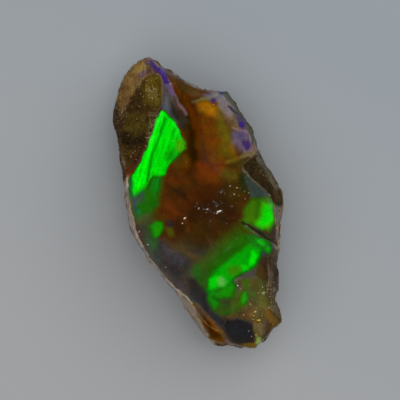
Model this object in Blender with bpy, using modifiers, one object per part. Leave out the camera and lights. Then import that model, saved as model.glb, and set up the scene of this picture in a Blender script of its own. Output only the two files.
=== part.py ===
"""A rough precious opal: one broken nodule, lying on its back with its glassy window up.

The nodule is lofted from its outline, broken flat in places, flaked by shell-shaped scars and
cracked once, then its skin is roughened and it is seated on its back. Everything is in
millimetres until seat() turns it into metres. +Y runs along the stone to the end with the
sharp pale ridge, +X to the broad crusted side, and +Z out of the window.
"""

import math

import bmesh
import bpy
from mathutils import Matrix, Vector, noise
from mathutils.bvhtree import BVHTree

MM = 0.001

# Driving dimensions, in millimetres
THICKNESS = 14.0
WAIST_HEIGHT = 7.2

# Surface: how far the crust's lumps and pits stand out, and how fine the solid's faces are
LUMP_HEIGHT = 0.42
LUMP_SIZE = 3.4
PIT_DEPTH = 0.34
PIT_SIZE = 1.5
VOXEL = 0.32
FACE_COUNT = 9400
FLAT_ENOUGH = 0.12

# How far the breaks and scars sway from true flats and balls, and over what length
SWAY = 0.22
SWAY_LENGTH = 6.0

# The widest outline, seen from the window side, clockwise from the ridge's tip
SILHOUETTE = [
    (-0.4, 23.4), (0.5, 21.8), (1.0, 20.7), (1.9, 20.2), (3.5, 18.3), (5.3, 16.3),
    (6.9, 15.4), (8.2, 14.9), (8.8, 14.3), (9.5, 11.3), (10.1, 8.3), (10.5, 5.1),
    (11.0, 1.2), (11.4, -2.0), (11.1, -3.5), (10.1, -5.7), (9.2, -6.8), (8.3, -9.5),
    (8.0, -10.5), (7.1, -12.1), (6.2, -15.4), (5.9, -16.1), (5.3, -16.3), (4.7, -17.4),
    (4.8, -18.8), (4.8, -20.4), (2.6, -21.5), (0.3, -23.0), (-0.4, -23.5), (-2.1, -22.5),
    (-4.0, -21.0), (-5.7, -20.1), (-6.6, -19.0), (-7.3, -17.8), (-7.7, -15.5), (-7.9, -13.2),
    (-9.1, -9.8), (-10.7, -5.4), (-11.4, -1.2), (-11.3, 1.0), (-10.6, 5.1), (-9.7, 8.7),
    (-9.2, 11.9), (-8.6, 15.5), (-7.1, 18.9), (-5.2, 21.0), (-3.3, 22.5), (-1.5, 23.3),
]

# Cross-sections from the resting face up: height, share of the width, share of the length,
# and how far the section lies to the side and along the stone
LEVELS = [
    (-1.0, 0.26, 0.36, 0.8, 0.8),
    (0.7, 0.52, 0.60, 0.6, 0.5),
    (2.6, 0.77, 0.79, 0.3, 0.2),
    (4.9, 0.93, 0.93, 0.1, 0.0),
    (WAIST_HEIGHT, 1.01, 1.005, 0.0, 0.0),
    (9.6, 0.995, 0.99, 0.0, 0.0),
    (12.0, 0.97, 0.965, 0.0, 0.0),
    (THICKNESS + 1.2, 0.94, 0.94, 0.0, 0.0),
]

# Flat breaks, each a point on it and the way it faces. The window's are glassy
WINDOW_BREAKS = [
    ((0.0, 0.0, THICKNESS), (0.02, 0.02, 1.0)),
    ((-5.2, 10.4, 13.0), (-0.30, 0.07, 1.0)),
    ((-7.4, -1.0, 13.1), (-0.22, -0.05, 1.0)),
    ((-7.0, -9.0, 12.5), (-0.24, -0.16, 1.0)),
    ((-1.5, -15.0, 12.7), (-0.03, -0.20, 1.0)),
    ((-1.4, -19.4, 11.0), (0.04, -0.46, 1.0)),
    ((3.4, -18.6, 10.6), (0.42, -0.30, 1.0)),
    ((0.8, 16.8, 13.4), (0.0, 0.32, 1.0)),
    ((1.2, 17.4, 13.3), (0.34, 0.10, 1.0)),
]
# The skin's are dull and rough
CRUST_BREAKS = [
    ((9.2, -1.5, 11.6), (0.80, 0.06, 0.60)),
    ((7.4, 2.6, 12.1), (0.58, 0.22, 0.80)),
    ((5.2, -12.5, 12.2), (0.72, -0.40, 0.58)),
    ((-5.2, -16.0, 11.5), (-0.80, -0.36, 0.50)),
    ((-5.0, 11.6, 12.7), (-0.50, 0.38, 0.78)),
    ((-8.4, 6.0, 3.4), (-0.74, 0.16, -0.62)),
    ((8.2, 7.0, 3.2), (0.66, 0.30, -0.66)),
    ((5.6, -11.0, 2.4), (0.52, -0.44, -0.76)),
    ((-6.8, -11.0, 3.0), (-0.70, -0.34, -0.62)),
    ((-4.0, 15.5, 2.6), (-0.42, 0.52, -0.76)),
    ((0.6, 20.0, 4.4), (0.20, 0.80, -0.55)),
    ((-0.6, -19.9, 4.0), (0.06, -0.80, -0.58)),
]

# Shell-shaped flake scars: the middle on the old surface, the way it faces, the way it runs,
# its reach that way and across, and its depth
WINDOW_SCARS = [
    ((-0.4, -1.6, 14.0), (-0.02, 0.0, 1.0), (0.1, 1.0, 0.0), 14.0, 8.6, 1.05),
    ((-3.2, 8.9, 13.4), (-0.20, 0.08, 1.0), (0.6, 0.8, 0.0), 7.0, 4.0, 0.5),
    ((4.4, 10.4, 12.4), (0.22, 0.14, 1.0), (-0.14, 1.0, 0.0), 9.6, 4.7, 2.0),
    ((8.0, 9.8, 10.8), (0.48, 0.02, 1.0), (-0.2, 1.0, 0.0), 5.4, 3.2, 0.7),
    ((-0.3, 16.9, 13.3), (-0.45, 0.05, 1.0), (0.05, 1.0, 0.0), 4.4, 1.5, 0.4),
    ((7.4, -2.4, 13.3), (0.30, 0.05, 1.0), (-0.5, 1.0, 0.0), 5.2, 3.4, 0.8),
    ((2.2, -10.6, 13.2), (0.12, -0.10, 1.0), (1.0, 0.4, 0.0), 6.8, 3.6, 0.55),
    ((-2.0, -15.4, 12.6), (-0.12, -0.12, 1.0), (0.5, 1.0, 0.0), 3.8, 2.8, 0.35),
    ((3.0, -15.8, 12.1), (0.34, -0.04, 1.0), (0.25, 1.0, 0.0), 3.8, 2.3, 0.5),
    ((1.2, -20.4, 10.5), (0.24, -0.36, 1.0), (0.0, 1.0, 0.0), 2.6, 1.2, 0.35),
    ((3.9, -18.2, 10.5), (0.40, 0.20, 0.9), (1.0, -0.5, 0.0), 2.6, 1.5, 0.4),
    ((9.2, -6.0, 4.4), (0.86, -0.10, -0.50), (0.0, 1.0, 0.1), 6.0, 3.4, 0.8),
    ((-9.6, -4.4, 3.8), (-0.84, -0.14, -0.52), (0.1, 1.0, 0.0), 5.2, 3.2, 0.7),
    ((2.2, 19.4, 4.6), (0.50, 0.66, -0.50), (1.0, -0.6, 0.0), 4.2, 2.6, 0.6),
]
CRUST_SCARS = [
    ((-4.9, 14.6, 11.2), (-0.48, 0.34, 0.80), (0.6, 0.8, 0.0), 7.8, 3.7, 1.5),
    ((10.6, 2.4, 7.8), (0.95, 0.08, 0.28), (0.0, 1.0, 0.0), 4.0, 2.2, 0.5),
    ((3.4, -7.4, 1.2), (0.42, -0.20, -0.88), (0.3, 1.0, 0.0), 6.0, 3.6, 0.8),
    ((-4.2, 5.2, 1.0), (-0.46, 0.14, -0.88), (0.2, 1.0, 0.0), 5.6, 3.2, 0.7),
    ((-7.3, -17.4, 4.8), (-0.84, -0.42, -0.30), (0.4, -1.0, 0.0), 3.4, 2.2, 0.4),
]

# The open crack by the crusted side: its line on the window, and the sides of its section
CRACK = [(4.0, -4.2), (4.9, -5.7), (5.8, -7.1), (6.8, -8.4), (8.2, -9.6)]
CRACK_WIDTH = 0.8
CRACK_DEPTH = 2.2


def new_object(name, mesh, collection):
    obj = bpy.data.objects.new(name, mesh)
    collection.objects.link(obj)
    return obj


def to_mesh(work, name):
    mesh = bpy.data.meshes.new(name)
    work.to_mesh(mesh)
    work.free()
    return mesh


def surface_of(obj):
    work = bmesh.new()
    work.from_mesh(obj.data)
    tree = BVHTree.FromBMesh(work)
    work.free()
    return tree


def whole_nodule():
    """The unbroken nodule: the silhouette lofted through its cross-sections."""
    work = bmesh.new()
    rings = []
    for height, wide, long, aside, along in LEVELS:
        ring = [(x * wide + aside, y * long + along, height) for x, y in SILHOUETTE]
        rings.append([work.verts.new(corner) for corner in ring])
    count = len(SILHOUETTE)
    for low, high in zip(rings, rings[1:]):
        for i in range(count):
            j = (i + 1) % count
            work.faces.new((low[i], low[j], high[j], high[i]))
    work.faces.new(rings[0])
    work.faces.new(rings[-1])
    bmesh.ops.recalc_face_normals(work, faces=work.faces)
    return work


def break_off(work, point, facing):
    """Takes off everything in front of a flat break and closes the stone there."""
    geometry = list(work.verts) + list(work.edges) + list(work.faces)
    cut = bmesh.ops.bisect_plane(
        work, geom=geometry, plane_co=Vector(point), plane_no=Vector(facing).normalized(),
        clear_outer=True,
    )
    rim = [item for item in cut["geom_cut"] if isinstance(item, bmesh.types.BMEdge)]
    bmesh.ops.holes_fill(work, edges=rim, sides=0)
    bmesh.ops.recalc_face_normals(work, faces=work.faces)


def scar_shape(scar):
    """The matrix that makes a unit ball into the ball whose surface is a scar's floor."""
    point, facing, run, reach, across, depth = scar
    up = Vector(facing).normalized()
    along = (Vector(run) - up * up.dot(Vector(run))).normalized()
    radius = (across ** 2 + depth ** 2) / (2 * depth)
    turn = Matrix((along, up.cross(along), up)).transposed().to_4x4()
    size = Matrix.Diagonal((radius * reach / across, radius, radius, 1.0))
    return Matrix.Translation(Vector(point) + up * (radius - depth)) @ turn @ size


def scar_cutter(name, scar, collection):
    work = bmesh.new()
    bmesh.ops.create_icosphere(work, subdivisions=5, radius=1.0, matrix=scar_shape(scar))
    middle = scar_shape(scar).translation
    for v in work.verts:
        out = (v.co - middle).normalized()
        v.co += out * SWAY * noise.noise(v.co / SWAY_LENGTH)
    return new_object(name, to_mesh(work, name), collection)


def crack_cutter(name, start, end, collection):
    """A bar of diamond section that opens one stretch of the crack as a V."""
    along = end - start
    size = Matrix.Diagonal((along.length + CRACK_WIDTH, CRACK_WIDTH, CRACK_DEPTH, 1.0))
    turn = along.to_track_quat("X", "Z").to_matrix().to_4x4()
    place = Matrix.Translation((start + end) / 2)
    work = bmesh.new()
    bmesh.ops.create_cube(work, size=1.0)
    diamond = Matrix.Rotation(math.radians(45), 4, "X")
    bmesh.ops.transform(work, verts=work.verts, matrix=place @ turn @ size @ diamond)
    return new_object(name, to_mesh(work, name), collection)


def crack_cutters(stone, collection):
    """The crack's bars, laid along the top of the stone."""
    top = surface_of(stone)
    line = [top.ray_cast(Vector((x, y, 99)), Vector((0, 0, -1)))[0] for x, y in CRACK]
    return [
        crack_cutter(f"crack_{i}", start, end, collection)
        for i, (start, end) in enumerate(zip(line, line[1:]))
    ]


def cut_away(stone, cutters):
    for cutter in cutters:
        cutter.hide_render = True
        cutter.display_type = "WIRE"
        boolean = stone.modifiers.new("cut_" + cutter.name, "BOOLEAN")
        boolean.operation = "DIFFERENCE"
        boolean.solver = "EXACT"
        boolean.object = cutter


def even_out(stone):
    """Even small faces all over, so that the surface can be worked."""
    remesh = stone.modifiers.new("even_faces", "REMESH")
    remesh.mode = "VOXEL"
    remesh.voxel_size = VOXEL


def applied(stone):
    """The stone with its modifiers made part of its mesh."""
    graph = bpy.context.evaluated_depsgraph_get()
    mesh = bpy.data.meshes.new_from_object(stone.evaluated_get(graph))
    stone.modifiers.clear()
    stone.data = mesh
    return stone


def on_glass(point, floors, planes):
    """True where a point lies on a glassy scar or window break."""
    for floor in floors:
        if floor.find_nearest(point, FLAT_ENOUGH)[0] is not None:
            return True
    return any(abs((point - origin).dot(normal)) < FLAT_ENOUGH for origin, normal in planes)


def grow_crust(stone, glassy_cutters):
    """Sways the whole surface a little, and lumps and pits the crust but not the glass."""
    floors = [surface_of(cutter) for cutter in glassy_cutters]
    planes = [(Vector(point), Vector(facing).normalized()) for point, facing in WINDOW_BREAKS]
    work = bmesh.new()
    work.from_mesh(stone.data)
    work.normal_update()
    crust = {v: 0.0 if on_glass(v.co, floors, planes) else 1.0 for v in work.verts}
    for _ in range(2):
        crust = {
            v: (crust[v] + sum(crust[e.other_vert(v)] for e in v.link_edges)) / (1 + len(v.link_edges))
            for v in work.verts
        }
    moves = {}
    for v in work.verts:
        sway = SWAY * noise.noise(v.co / SWAY_LENGTH + Vector((9, 0, 0)))
        lumps = LUMP_HEIGHT * noise.fractal(v.co / LUMP_SIZE, 1.0, 2.2, 3)
        pits = PIT_DEPTH * (noise.voronoi(v.co / PIT_SIZE)[0][0] - 0.45)
        moves[v] = v.normal * (sway + crust[v] ** 2 * (lumps + pits))
    for v, move in moves.items():
        v.co += move
    stone.data = to_mesh(work, "crusted")


def coarsen(stone):
    """Fewer faces, most of them where the surface bends."""
    faces = sum(len(face.vertices) - 2 for face in stone.data.polygons)
    decimate = stone.modifiers.new("fewer_faces", "DECIMATE")
    decimate.ratio = FACE_COUNT / faces


def seat(stone):
    """Cuts the resting face flat at height 0, then centres the stone over it, in metres."""
    work = bmesh.new()
    work.from_mesh(stone.data)
    break_off(work, (0, 0, 0), (0, 0, -1))
    bmesh.ops.triangulate(work, faces=work.faces)
    low = Vector(min(v.co[i] for v in work.verts) for i in range(3))
    high = Vector(max(v.co[i] for v in work.verts) for i in range(3))
    middle = (low + high) / 2
    bmesh.ops.translate(work, verts=work.verts, vec=(-middle.x, -middle.y, -low.z))
    bmesh.ops.scale(work, verts=work.verts, vec=(MM, MM, MM))
    stone.data = to_mesh(work, "rough_opal")


def opal_material():
    material = bpy.data.materials.new("opal")
    material.use_nodes = True
    surface = material.node_tree.nodes["Principled BSDF"]
    surface.inputs["Base Color"].default_value = (0.20, 0.10, 0.03, 1.0)
    surface.inputs["Roughness"].default_value = 0.25
    surface.inputs["Metallic"].default_value = 0.0
    return material


def main():
    for obj in list(bpy.data.objects):
        bpy.data.objects.remove(obj)
    piece = bpy.data.collections.new("rough_opal_piece")
    cutters = bpy.data.collections.new("cutters")
    for collection in (piece, cutters):
        bpy.context.scene.collection.children.link(collection)

    work = whole_nodule()
    for point, facing in WINDOW_BREAKS + CRUST_BREAKS:
        break_off(work, point, facing)
    bmesh.ops.triangulate(work, faces=work.faces)
    stone = new_object("rough_opal", to_mesh(work, "nodule"), piece)

    glassy = [
        scar_cutter(f"window_scar_{i}", scar, cutters)
        for i, scar in enumerate(WINDOW_SCARS)
    ]
    dull = [
        scar_cutter(f"crust_scar_{i}", scar, cutters)
        for i, scar in enumerate(CRUST_SCARS)
    ]
    cut_away(stone, glassy + dull)
    cracks = crack_cutters(applied(stone), cutters)
    cut_away(stone, cracks)
    even_out(stone)
    grow_crust(applied(stone), glassy + cracks)
    coarsen(stone)
    seat(applied(stone))
    stone.data.materials.append(opal_material())
    stone.data.shade_smooth()
    stone.data.set_sharp_from_angle(angle=math.radians(35))


main()
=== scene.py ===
# A rough precious opal that lies on its back, with its broken glassy window up.
# Work on the stone is done in millimetres, and its mesh is made metres at the very end.
import math

import bmesh
import bpy
import numpy as np
from mathutils import Matrix, Vector, noise
from mathutils.bvhtree import BVHTree


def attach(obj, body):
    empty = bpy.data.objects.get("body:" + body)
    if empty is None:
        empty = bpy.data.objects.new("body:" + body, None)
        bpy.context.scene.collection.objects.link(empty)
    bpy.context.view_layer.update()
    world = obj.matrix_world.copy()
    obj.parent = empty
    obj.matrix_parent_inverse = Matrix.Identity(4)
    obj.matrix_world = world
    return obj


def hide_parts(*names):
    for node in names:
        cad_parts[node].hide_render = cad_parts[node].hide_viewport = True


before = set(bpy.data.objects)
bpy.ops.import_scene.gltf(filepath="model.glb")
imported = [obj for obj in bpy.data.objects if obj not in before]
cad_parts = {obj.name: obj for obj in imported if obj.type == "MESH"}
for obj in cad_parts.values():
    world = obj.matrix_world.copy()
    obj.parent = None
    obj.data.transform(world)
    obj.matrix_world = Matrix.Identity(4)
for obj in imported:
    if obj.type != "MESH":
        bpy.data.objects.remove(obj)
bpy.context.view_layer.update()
mm = 0.001
noise.seed_set(1)                   # without a seed the noise differs from run to run
print("frame loaded")

photo = {
    "width": 60.0,                  # how much of the stone's plane the picture spans
    "centre": (-0.34, 0.45),        # where the picture's centre falls on the stone
    "lean": 20.1,                   # degrees that the stone leans to the left
    "plane": 7.2,                   # height of the stone's widest outline
    "lens": 250.0,
    "sensor": 36.0,
    "measured": (0.32, 0.23),       # the stone's middle in the frame that the outlines below use
}
cameraAway = photo["width"] * photo["lens"] / photo["sensor"]
leanTurn = math.radians(photo["lean"])
pictureRight = Vector((math.cos(leanTurn), -math.sin(leanTurn), 0))
pictureUp = Vector((math.sin(leanTurn), math.cos(leanTurn), 0))


# Nodes and their arithmetic

class Wire:
    # One socket's value, which can be added, multiplied and so on
    def __init__(self, graph, socket):
        self.graph = graph
        self.socket = socket

    def calc(self, operation, *values):
        return self.graph.add("ShaderNodeMath", {"operation": operation}, dict(enumerate(values)))[0]

    def __add__(self, other):
        return self.calc("ADD", self, other)

    def __sub__(self, other):
        return self.calc("SUBTRACT", self, other)

    def __rsub__(self, other):
        return self.calc("SUBTRACT", other, self)

    def __mul__(self, other):
        return self.calc("MULTIPLY", self, other)

    def __truediv__(self, other):
        return self.calc("DIVIDE", self, other)

    def __rtruediv__(self, other):
        return self.calc("DIVIDE", other, self)

    def __pow__(self, other):
        return self.calc("POWER", self, other)

    __radd__ = __add__
    __rmul__ = __mul__

    def clamped(self):
        return self.calc("MAXIMUM", self.calc("MINIMUM", self, 1.0), 0.0)

    def between(self, low, high):
        return ((self - low) / (high - low)).clamped()


class Made:
    # A node that has been made, whose outputs are read by name or number
    def __init__(self, graph, node):
        self.graph = graph
        self.node = node

    def __getitem__(self, key):
        return Wire(self.graph, self.node.outputs[key])


class Graph:
    def __init__(self, tree):
        self.tree = tree
        tree.nodes.clear()

    def add(self, kind, settings=None, sockets=None):
        node = self.tree.nodes.new(kind)
        for name, value in (settings or {}).items():
            setattr(node, name, value)
        for name, value in (sockets or {}).items():
            if isinstance(value, Wire):
                self.tree.links.new(value.socket, node.inputs[name])
            else:
                node.inputs[name].default_value = value
        return Made(self, node)

    def mixColour(self, factor, first, second, blend="MIX"):
        settings = {"data_type": "RGBA", "blend_type": blend, "clamp_factor": True}
        return self.add("ShaderNodeMix", settings, {0: factor, 6: first, 7: second})[2]

    def scaled(self, colour, amount):
        return self.add("ShaderNodeVectorMath", {"operation": "SCALE"}, {0: colour, "Scale": amount})[0]


def rgb(red, green, blue):
    # A screen colour, 0 to 255, as linear light
    linear = []
    for value in (red, green, blue):
        share = value / 255
        linear.append(share / 12.92 if share <= 0.04045 else ((share + 0.055) / 1.055) ** 2.4)
    return (*linear, 1.0)


# The stone's shape: a dense copy of the solid

stoneShape = {
    "pointSpacing": 0.19,
    "smoothRounds": 34,
    "smoothStep": 0.7,
    "sameFace": 22.0,               # degrees between normals that still count as one break
    "glassReach": 0.42,             # how near to a glassy break's true surface glass still is
    "glassBorder": 0.7,             # from which share of that reach it thins out
    "glassFacing": (0.93, 0.975),   # how well the surface has to face the break's way
    "glassShare": (0.30, 0.75),     # the shares of glass near a point from crust to glass
    "rippleLength": 0.85,
    "rippleBorder": (0.15, 0.35),   # how far off its scar a ripple dies out
}
# The fine relief, by the names of its tree's inputs
reliefShape = {"Grain Height": 0.14, "Grain Size": 0.55, "Pit Depth": 0.20, "Pit Size": 0.9,
               "Ripple Height": 0.020, "Seed": 4.0}
# The glassy breaks, as in the solid, in its unseated frame: a point on each and the way it faces
seatShift = Vector((0.137, -0.159, 0.0))
windowBreaks = [
    ((0.0, 0.0, 14.0), (0.02, 0.02, 1.0)),
    ((-5.2, 10.4, 13.0), (-0.30, 0.07, 1.0)),
    ((-7.4, -1.0, 13.1), (-0.22, -0.05, 1.0)),
    ((-7.0, -9.0, 12.5), (-0.24, -0.16, 1.0)),
    ((-1.5, -15.0, 12.7), (-0.03, -0.20, 1.0)),
    ((-1.4, -19.4, 11.0), (0.04, -0.46, 1.0)),
    ((3.4, -18.6, 10.6), (0.42, -0.30, 1.0)),
    ((0.8, 16.8, 13.4), (0.0, 0.32, 1.0)),
    ((1.2, 17.4, 13.3), (0.34, 0.10, 1.0)),
]
# The glassy scars: middle, facing, the way it runs, reach that way and across, depth
windowScars = [
    ((-0.4, -1.6, 14.0), (-0.02, 0.0, 1.0), (0.1, 1.0, 0.0), 14.0, 8.6, 1.05),
    ((-3.2, 8.9, 13.4), (-0.20, 0.08, 1.0), (0.6, 0.8, 0.0), 7.0, 4.0, 0.5),
    ((4.4, 10.4, 12.4), (0.22, 0.14, 1.0), (-0.14, 1.0, 0.0), 9.6, 4.7, 2.0),
    ((8.0, 9.8, 10.8), (0.48, 0.02, 1.0), (-0.2, 1.0, 0.0), 5.4, 3.2, 0.7),
    ((-0.3, 16.9, 13.3), (-0.45, 0.05, 1.0), (0.05, 1.0, 0.0), 4.4, 1.5, 0.4),
    ((7.4, -2.4, 13.3), (0.30, 0.05, 1.0), (-0.5, 1.0, 0.0), 5.2, 3.4, 0.8),
    ((2.2, -10.6, 13.2), (0.12, -0.10, 1.0), (1.0, 0.4, 0.0), 6.8, 3.6, 0.55),
    ((-2.0, -15.4, 12.6), (-0.12, -0.12, 1.0), (0.5, 1.0, 0.0), 3.8, 2.8, 0.35),
    ((3.0, -15.8, 12.1), (0.34, -0.04, 1.0), (0.25, 1.0, 0.0), 3.8, 2.3, 0.5),
    ((1.2, -20.4, 10.5), (0.24, -0.36, 1.0), (0.0, 1.0, 0.0), 2.6, 1.2, 0.35),
    ((3.9, -18.2, 10.5), (0.40, 0.20, 0.9), (1.0, -0.5, 0.0), 2.6, 1.5, 0.4),
    ((9.2, -6.0, 4.4), (0.86, -0.10, -0.50), (0.0, 1.0, 0.1), 6.0, 3.4, 0.8),
    ((-9.6, -4.4, 3.8), (-0.84, -0.14, -0.52), (0.1, 1.0, 0.0), 5.2, 3.2, 0.7),
    ((2.2, 19.4, 4.6), (0.50, 0.66, -0.50), (1.0, -0.6, 0.0), 4.2, 2.6, 0.6),
]


def added(name, data):
    piece = bpy.data.objects.new(name, data)
    bpy.context.scene.collection.objects.link(piece)
    return piece


def copiedInMillimetres(node, name):
    mesh = node.data.copy()
    mesh.name = name
    work = bmesh.new()
    work.from_mesh(mesh)
    bmesh.ops.remove_doubles(work, verts=work.verts, dist=1e-6)
    bmesh.ops.scale(work, verts=work.verts, vec=(1 / mm, 1 / mm, 1 / mm))
    work.to_mesh(mesh)
    work.free()
    mesh.materials.clear()
    for attribute in [a.name for a in mesh.attributes if not a.is_internal and not a.is_required]:
        mesh.attributes.remove(mesh.attributes[attribute])
    return added(name, mesh)


def madePlain(piece):
    # The piece with its modifiers made part of its mesh
    graph = bpy.context.evaluated_depsgraph_get()
    mesh = bpy.data.meshes.new_from_object(piece.evaluated_get(graph))
    piece.modifiers.clear()
    piece.data = mesh


def pointsOf(mesh):
    flat = np.empty(len(mesh.vertices) * 3)
    mesh.vertices.foreach_get("co", flat)
    return flat.reshape(-1, 3)


def edgesOf(mesh):
    flat = np.empty(len(mesh.edges) * 2, dtype=np.int64)
    mesh.edges.foreach_get("vertices", flat)
    return flat.reshape(-1, 2)


def quadsOf(mesh):
    flat = np.empty(len(mesh.loops), dtype=np.int64)
    mesh.loops.foreach_get("vertex_index", flat)
    return flat.reshape(-1, 4)


def normalsOf(points, quads):
    corners = points[quads]
    facing = np.cross(corners[:, 2] - corners[:, 0], corners[:, 3] - corners[:, 1])
    total = np.zeros_like(points)
    for corner in range(4):
        for axis in range(3):
            total[:, axis] += np.bincount(quads[:, corner], facing[:, axis], len(points))
    return total / np.maximum(np.linalg.norm(total, axis=1, keepdims=True), 1e-12)


def ramp(values, low, high):
    share = np.clip((values - low) / (high - low), 0, 1)
    return share * share * (3 - 2 * share)


def averaged(values, edges, rounds):
    for _ in range(rounds):
        total = np.bincount(edges[:, 0], values[edges[:, 1]], len(values))
        total += np.bincount(edges[:, 1], values[edges[:, 0]], len(values))
        count = np.bincount(edges.ravel(), minlength=len(values))
        values = (values + total) / (1 + count)
    return values


def averagedPoints(points, edges, rounds):
    return np.column_stack([averaged(points[:, axis], edges, rounds) for axis in range(3)])


def scarFrame(scar):
    # A scar's ball: its middle, its three axes and its three radii
    point, facing, run, reach, across, depth = scar
    up = Vector(facing).normalized()
    along = (Vector(run) - up * up.dot(Vector(run))).normalized()
    radius = (across ** 2 + depth ** 2) / (2 * depth)
    middle = Vector(point) + up * (radius - depth) + seatShift
    axes = np.array((along, up.cross(along), up))
    return np.array(middle), axes, np.array((radius * reach / across, radius, radius))


def nearAndFacing(off, agree):
    # 1 where a point is on a break's surface and faces its way, 0 away from it
    reach = stoneShape["glassReach"]
    return (1 - ramp(off, reach * stoneShape["glassBorder"], reach)) * ramp(agree, *stoneShape["glassFacing"])


def glassOf(points, normals):
    # 1 on the glassy breaks and scars, 0 on the crust
    glass = np.zeros(len(points))
    for point, facing in windowBreaks:
        facing = Vector(facing).normalized()
        off = np.abs((points - np.array(Vector(point) + seatShift)) @ np.array(facing))
        glass = np.maximum(glass, nearAndFacing(off, normals @ np.array(facing)))
    for scar in windowScars:
        middle, axes, radii = scarFrame(scar)
        local = (points - middle) @ axes.T / radii
        length = np.linalg.norm(local, axis=1)
        inward = -(local / radii) @ axes
        inward /= np.maximum(np.linalg.norm(inward, axis=1, keepdims=True), 1e-12)
        off = np.abs(length - 1) * radii[1]
        glass = np.maximum(glass, nearAndFacing(off, np.sum(inward * normals, axis=1)))
    return glass


def smoothWithinBreaks(points, edges, quads, glass):
    # Evens out each break's surface, and leaves the sharp lines between breaks alone
    limit = math.cos(math.radians(stoneShape["sameFace"]))
    first, second = edges[:, 0], edges[:, 1]
    for turn in range(stoneShape["smoothRounds"]):
        if turn % 4 == 0:
            normals = normalsOf(points, quads)
            same = np.clip((np.sum(normals[first] * normals[second], axis=1) - limit) / (1 - limit), 0, 1)
        total = np.bincount(first, same, len(points)) + np.bincount(second, same, len(points))
        pull = np.zeros_like(points)
        for axis in range(3):
            step = same * (points[second, axis] - points[first, axis])
            pull[:, axis] = np.bincount(first, step, len(points)) - np.bincount(second, step, len(points))
        pull /= (total + 0.5)[:, None]
        pull = normals * np.sum(pull * normals, axis=1, keepdims=True)
        points = points + stoneShape["smoothStep"] * pull * glass[:, None]
    return points


def rippleOf(points, glass):
    # Shell-shaped waves that spread over each scar from the end where it was struck
    waves = np.zeros(len(points))
    for number, scar in enumerate(windowScars):
        middle, axes, radii = scarFrame(scar)
        reach = scar[3]
        side = 1 if number % 2 else -1
        struck = middle + axes[0] * reach * 1.15 * side - axes[2] * radii[1]
        local = (points - middle) @ axes.T / radii
        on = 1 - ramp(np.abs(np.linalg.norm(local, axis=1) - 1) * radii[1], *stoneShape["rippleBorder"])
        far = np.linalg.norm(points - struck, axis=1)
        spacing = stoneShape["rippleLength"] * (0.8 + 0.4 * ((number * 7) % 5) / 4)
        waves += on * np.sin(2 * math.pi * far / spacing) * (1 - ramp(far, reach * 0.5, reach * 2.4))
    return waves * glass


# Colours over the stone: drawn patches, seen from above

patchLook = {
    "wander": 0.16,                 # how far the patches' borders stray
    "wanderSize": 1.1,
    "fineWander": 0.35,             # a finer stray's width and size, as shares of the first's
    "fineSize": 0.3,
    "fadeOut": (-0.15, 0.15),       # how level the surface is where the patches fade out
    "fadeHeight": (2.0, 3.5),       # and how high over the ground
    "fibrous": (0.25, 0.65),        # how level it is where the crust's fibres show
    "stepSoft": 0.12,
    "lipSoft": 0.2,
    "glass": rgb(104, 58, 8),
    "crust": rgb(104, 84, 58),
    "paleCrust": rgb(152, 138, 114),
    "paleWhere": (-0.15, 0.25),
    "darkCrust": rgb(70, 50, 26),
    "darkWhere": (0.08, 0.42),
    "crustToneSize": 4.5,
    "crustToneShift": (3, 1, 7),
}
# How far the glassy window reaches
windowOutline = [
    (0.0, 20.8), (0.1, 23.4), (1.8, 20.8), (3.2, 19.6), (4.9, 17.6), (6.0, 16.6), (7.2, 15.7), (9.0, 14.9),
    (9.6, 12.9), (10.2, 10.7), (10.6, 8.5), (10.7, 6.4), (10.6, 5.0), (10.5, 4.7), (9.5, 4.0), (7.7, 3.3),
    (7.7, 2.5), (8.3, 1.1), (9.1, -0.6), (10.1, -2.2), (10.1, -3.8), (9.6, -5.5), (9.3, -7.8), (8.7, -9.8),
    (8.0, -10.5), (6.6, -10.8), (6.2, -12.1), (5.5, -14.3), (4.6, -15.8), (4.7, -17.1), (4.4, -18.7),
    (4.5, -18.9), (5.2, -20.4), (2.0, -22.2), (0.2, -23.5), (-3.3, -21.2), (-5.8, -19.5), (-6.2, -19.1),
    (-7.1, -17.3), (-7.4, -13.9), (-7.8, -12.0), (-7.6, -11.6), (-8.2, -10.1), (-9.4, -7.5), (-10.1, -5.1),
    (-10.6, -2.9), (-10.8, -0.5), (-10.4, 1.6), (-10.2, 3.3), (-9.7, 5.6), (-9.2, 7.1), (-8.6, 7.7),
    (-6.5, 9.5), (-4.5, 11.2), (-3.0, 13.0), (-1.6, 15.2), (-0.5, 16.0), (0.5, 18.3), (0.9, 20.0),
    (0.6, 20.7),
]
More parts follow.
